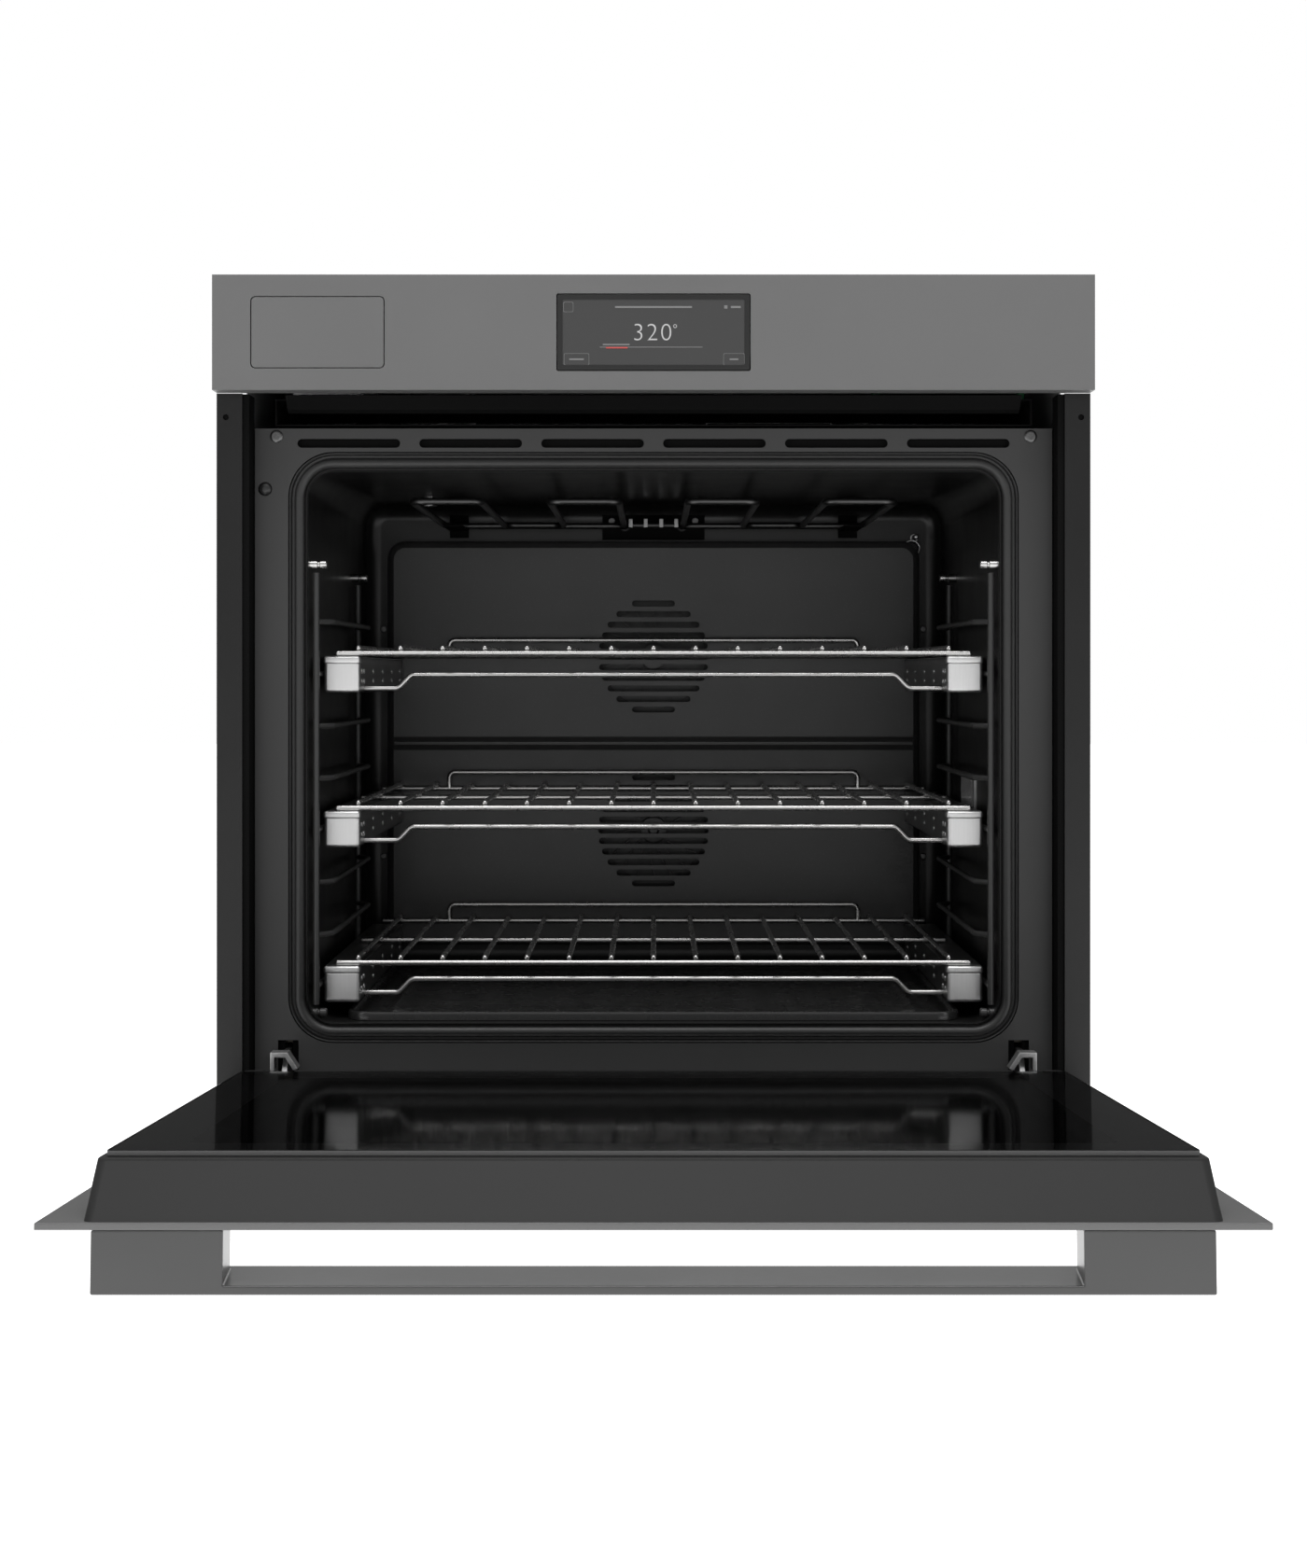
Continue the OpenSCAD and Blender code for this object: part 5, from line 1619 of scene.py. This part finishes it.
def makeShelf(name, s):
    # cross bars, the long wires on top of them, and the guard hoop at the back
    low, high = shelfBox[name]
    r = s["wire"] / 2
    z = low.z + r
    y0 = low.y + r
    y1 = high.y - r
    half = high.x
    row = {"Radius": r, "Finish": finishes["platedWire"]}
    bars = wireRow.build(pointMesh([(0, 0, 0)]), {
        "Count": s["barCount"], "Pitch": (0.0, (y1 - y0) / (s["barCount"] - 1), 0.0),
        "Start": (-half + r, y0, z), "End": (half - r, y0, z), **row})
    count = int((half - s["edge"]) / s["pitch"])
    first = -count * s["pitch"]
    wires = wireRow.build(pointMesh([(0, 0, 0)]), {
        "Count": 2 * count + 1, "Pitch": (s["pitch"], 0.0, 0.0),
        "Start": (first, y0, z + s["lift"]), "End": (first, y1, z + s["lift"]), **row})
    hoop = count * s["pitch"] - s["hoopIn"]
    rise = Vector((0, 0, s["hoopRise"]))
    left = Vector((-hoop, y1, z))
    right = Vector((hoop, y1, z))
    guard = rods([[left, left + rise, right + rise, right]], s["wire"], s["hoopBend"], "platedWire")
    piece(name + "Shelf", joined([bars, wires, guard]), "platedWire", "pull_out_" + name,
          ("shelf_" + name,), 60)


makeLadders(ladderDetail)
for shelfName in shelfNames:
    makeSlides(shelfName, slideDetail)
    makeShelf(shelfName, shelfDetail)
refined("slide_rails", "slideSteel", "oven_case", "slide_steel", 0.0006, 2)
print("shelves ready")


# switch button, hinges and screws

plungerLow, plungerHigh = corners("switch_plunger")


buttonDetail = {"dome": 0.0034, "domeSteps": 7, "collar": (0.0036, 0.0037), "waist": 0.0015}


def makeButton(s):
    # domed button on a thinner stem
    cx, cz = (plungerLow.x + plungerHigh.x) / 2, (plungerLow.z + plungerHigh.z) / 2
    radius = (plungerHigh.x - plungerLow.x) / 2
    y0 = plungerLow.y
    profile = []
    for k in range(1, s["domeSteps"] + 1):
        a = math.pi / 2 * k / s["domeSteps"]
        profile.append((radius * math.sin(a), y0 + s["dome"] * (1 - math.cos(a))))
    stem = radius - s["waist"]
    profile += [(radius, y0 + s["collar"][0]), (stem, y0 + s["collar"][1]), (stem, plungerHigh.y)]
    mesh = loft([circleRing(cx, cz, r, y, 32) for r, y in profile], capStart=True, capEnd=True)
    piece("switchButton", mesh, "blackPlastic", "switch_button", ("switch_plunger",), 40)


screwDetail = {"height": 0.002, "frame": {"radius": 0.0055, "in": 0.019, "down": 0.007},
               "grill": {"radius": 0.004, "front": 0.0015, "up": 0.006, "inner": 0.044, "outer": 0.205},
               "cover": {"radius": 0.0035, "out": 0.006, "rise": 0.12}}


def makeScrews(s):
    # the frame's two screws, the grill plate's four and the cover's four
    ofFrame, ofGrill, ofCover = s["frame"], s["grill"], s["cover"]
    screwX = frameHigh.x - ofFrame["in"]
    screwZ = frameHigh.z - ofFrame["down"]
    rodZ = (grillLow.z + grillHigh.z) / 2
    grillY = backWallY - ofGrill["front"]
    mid = (fanAxes["upper"].z + fanAxes["lower"].z) / 2
    coverX = coverHigh.x + ofCover["out"]
    rows = [(ofFrame["radius"], [(side * screwX, frameLow.y, screwZ) for side in (-1, 1)]),
            (ofGrill["radius"], [(side * ofGrill["inner"], grillY, rodZ + ofGrill["up"]) for side in (-1, 1)]
             + [(side * ofGrill["outer"], grillY, rodZ) for side in (-1, 1)]),
            (ofCover["radius"], [(side * coverX, backWallY, mid + drop) for side in (-1, 1)
                                 for drop in (-ofCover["rise"], ofCover["rise"])])]
    parts = []
    for radius, points in rows:
        head = screwHead("screwHead", radius, s["height"])
        parts.append(scattered(head, points, (0.0, 0.0, 0.0), "screwSteel"))
        bpy.data.objects.remove(head)
    piece("frontScrews", joined(parts), "screwSteel", "oven_case", ("fixing_screws",))


keeperDetail = {"outline": [(-0.332, 0.058), (-0.317, 0.058), (-0.308, 0.044), (-0.312, 0.0425),
                            (-0.319, 0.0535), (-0.3285, 0.0535), (-0.3285, 0.042), (-0.332, 0.042)],
                "front": -0.003, "back": 0.012, "bevel": 0.0006}


def makeHingeKeepers(s):
    # bent steel straps over the hinge arms
    straps = []
    for side in (-1, 1):
        outline = [Vector((-side * x, s["front"], z)) for x, z in s["outline"]]
        straps.append(plate(outline, [], s["front"], s["back"]))
    mesh = bevelled("hingeKeepers", joined(straps), s["bevel"], 2)
    piece("hingeKeepers", mesh, "satinSteel", "oven_case")


makeButton(buttonDetail)
makeScrews(screwDetail)
makeHingeKeepers(keeperDetail)
# node, finish, body, slot, bevel and its segments
for settings in (("hinge_brackets", "hingeSteel", "oven_case", "bright_steel", 0.0006, 2),
                 ("door_hinge_arms", "hingeSteel", "door", "bright_steel", 0.0006, 2),
                 ("water_tank", "tankPlastic", "tank_drawer", "tank_plastic", 0.0012, 3),
                 ("tank_lid", "tankPlastic", "tank_drawer", "tank_plastic", 0.0006, 2),
                 ("tank_sleeve", "whitePlastic", "oven_case", "white_plastic", 0.0006, 2)):
    refined(*settings)
print("hinges and tank ready")


# door

plateLow, plateHigh = closedCorners("door_plate")
bodyLow, bodyHigh = closedCorners("door_body")
glassLow, glassHigh = closedCorners("door_glass")

doorDetail = {
    "glass": 0.004, "border": 0.043, "lap": 0.008, "paneCorner": 0.004, "paneBevel": 0.0006,
    "outerCorner": 0.0057, "outerBevel": 0.0004, "windowCorner": 0.010, "printIn": 0.0012,
    "printAt": (0.0002, 0.0004), "edgeStrip": {"in": 0.001, "set": 0.0004, "under": 0.0006, "over": 0.0002},
    "bodyCorner": 0.007, "bodyFold": 0.002, "lipDepth": 0.003, "sheet": 0.0014,
    "pocketHalf": 0.0135, "pocketX": 0.320, "pocketTop": 0.120,
}
windowLow = (glassLow.x + doorDetail["border"], glassLow.z + doorDetail["border"])
windowHigh = (glassHigh.x - doorDetail["border"], glassHigh.z - doorDetail["border"])


def doorPiece(name, mesh, finish, stands=(), angle=35):
    # a piece made with the door shut, turned to where the door stands open
    piece(name, moved(mesh, doorTurn), finish, "door", stands, angle)


def makeDoorPanes(s):
    inner = glassHigh.y
    back = inner - s["glass"]
    low = (glassLow.x, glassLow.z)
    high = (glassHigh.x, glassHigh.z)
    pane = plate(roundedRing(low, high, s["paneCorner"], back), [], back, inner)
    doorPiece("innerPane", bevelled("innerPane", pane, s["paneBevel"], 3), "doorGlass",
              ("door_glass",))
    # pale strip on the pane's top end face: its ground edge, and a painted highlight
    e = s["edgeStrip"]
    strip = boxMesh((low[0] + e["in"], back + e["set"], high[1] - e["under"]),
                    (high[0] - e["in"], inner - e["set"], high[1] + e["over"]))
    doorPiece("innerPaneEdge", strip, "groundEdge")
    edge = s["printIn"]
    outline = roundedRing((low[0] + edge, low[1] + edge), (high[0] - edge, high[1] - edge),
                          s["paneCorner"], back)
    window = roundedRing(windowLow, windowHigh, s["windowCorner"], back)
    border = plate(outline, [window], back + s["printAt"][0], back + s["printAt"][1])
    doorPiece("innerPanePrint", border, "glassPrint")
    middleY = (plateHigh.y + back) / 2
    middle = plate(roundedRing(windowLow, windowHigh, s["windowCorner"], middleY), [],
                   middleY - s["glass"] / 2, middleY + s["glass"] / 2)
    doorPiece("middlePane", middle, "doorGlass")
    lap = s["lap"]
    outerLow = (windowLow[0] - lap, windowLow[1] - lap)
    outerHigh = (windowHigh[0] + lap, windowHigh[1] + lap)
    outer = plate(roundedRing(outerLow, outerHigh, s["outerCorner"], plateLow.y), [], plateLow.y, plateHigh.y)
    doorPiece("outerPane", bevelled("outerPane", outer, s["outerBevel"], 2), "frontGlass")


def makeDoorBody(s):
    # folded channel: sides, a slanted top edge, and the face round the window
    y0, y1 = bodyLow.y, bodyHigh.y
    slope = y1 - y0
    fold = s["bodyFold"]
    low = (bodyLow.x, bodyLow.z)
    high = (bodyHigh.x, bodyHigh.z)
    r = s["bodyCorner"]
    steps = 4
    rings = []
    for k in range(steps + 1):
        share = k / steps
        rings.append(roundedRing(low, (high[0], high[1] - slope * share), r,
                                 y0 + (y1 - fold - y0) * share, 8))
    for k in range(1, steps + 1):
        a = math.pi / 2 * k / steps
        inset = fold * (1 - math.cos(a))
        top = high[1] - slope - inset
        rings.append(roundedRing((low[0] + inset, low[1] + inset), (high[0] - inset, top), r,
                                 y1 - fold + fold * math.sin(a), 8))
    window = roundedRing(windowLow, windowHigh, s["windowCorner"], y1, 8)
    rings.append(window)
    rings.append([p - Vector((0, s["lipDepth"], 0)) for p in window])
    rings.append([Vector((p.x, y0 + 0.0005, p.z)) for p in window])
    mesh = withModifiers("doorBody", loft(rings), [("SOLIDIFY", {"thickness": s["sheet"], "offset": -1.0})])
    for side in (-1, 1):
        x = side * s["pocketX"]
        mesh = cutAway("doorBody", mesh, (x - s["pocketHalf"], y0 - 0.01, low[1] - 0.02),
                       (x + s["pocketHalf"], y1 + 0.01, s["pocketTop"]))
    doorPiece("doorBody", mesh, "doorBodyPaint", ("door_body",), 40)


handleDetail = {"bevel": 0.0012, "postInner": 0.30, "frontShift": 0.0028, "slant": 0.0054,
                "outerShift": 0.0028}


def makeHandle(s):
    # the bar with its two posts, whose inner faces lean outwards away from the front
    mesh = moved(copyOfNode("door_handle"), doorTurn.inverted())
    inner = [v for v in mesh.vertices if abs(v.co.x) < s["postInner"]]
    front = max(v.co.z for v in inner)
    depth = front - min(v.co.z for v in inner)
    for v in mesh.vertices:
        if abs(v.co.x) > s["postInner"]:
            v.co.x += math.copysign(s["outerShift"], v.co.x)
    for v in inner:
        outwards = s["frontShift"] + s["slant"] * (front - v.co.z) / depth
        v.co.x += math.copysign(outwards, v.co.x)
    mesh = bevelled("doorHandle", moved(mesh, doorTurn), s["bevel"], 4)
    piece("doorHandle", mesh, "handleAnodised", "door", ("door_handle",))


refined("door_plate", "frontPanelPaint", "door", "front_metal", 0.0007)
makeHandle(handleDetail)
makeDoorPanes(doorDetail)
makeDoorBody(doorDetail)
print("door ready")


# finishes of the parts that keep their own shape

plainParts = {
    "display_module": "boardLacquer", "control_board": "boardLacquer", "service_deck": "zincSheet",
    "water_pump": "blackPlastic", "steam_generator": "motorSteel", "steam_pipe": "motorSteel",
    "cooling_duct": "blackSheet", "blower_housing": "zincSheet", "blower_rotor": "rotorAluminium",
    "blower_motor": "motorSteel", "insulation": "mineralWool", "fan_motors": "motorSteel",
    "bottom_element": "rodSteel", "lamp_housing": "zincSheet", "lamp_bulb": "bulbGlass",
    "door_switch": "blackPlastic",
}
for node, finish in plainParts.items():
    data = frame["nodes"][node].data
    data.materials.clear()
    data.materials.append(finishes[finish])

made = set()
for obj in scene.objects:
    made |= set(obj.get("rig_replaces", []))
print("nodes with no finish:", sorted(set(frame["nodes"]) - made - set(plainParts)))
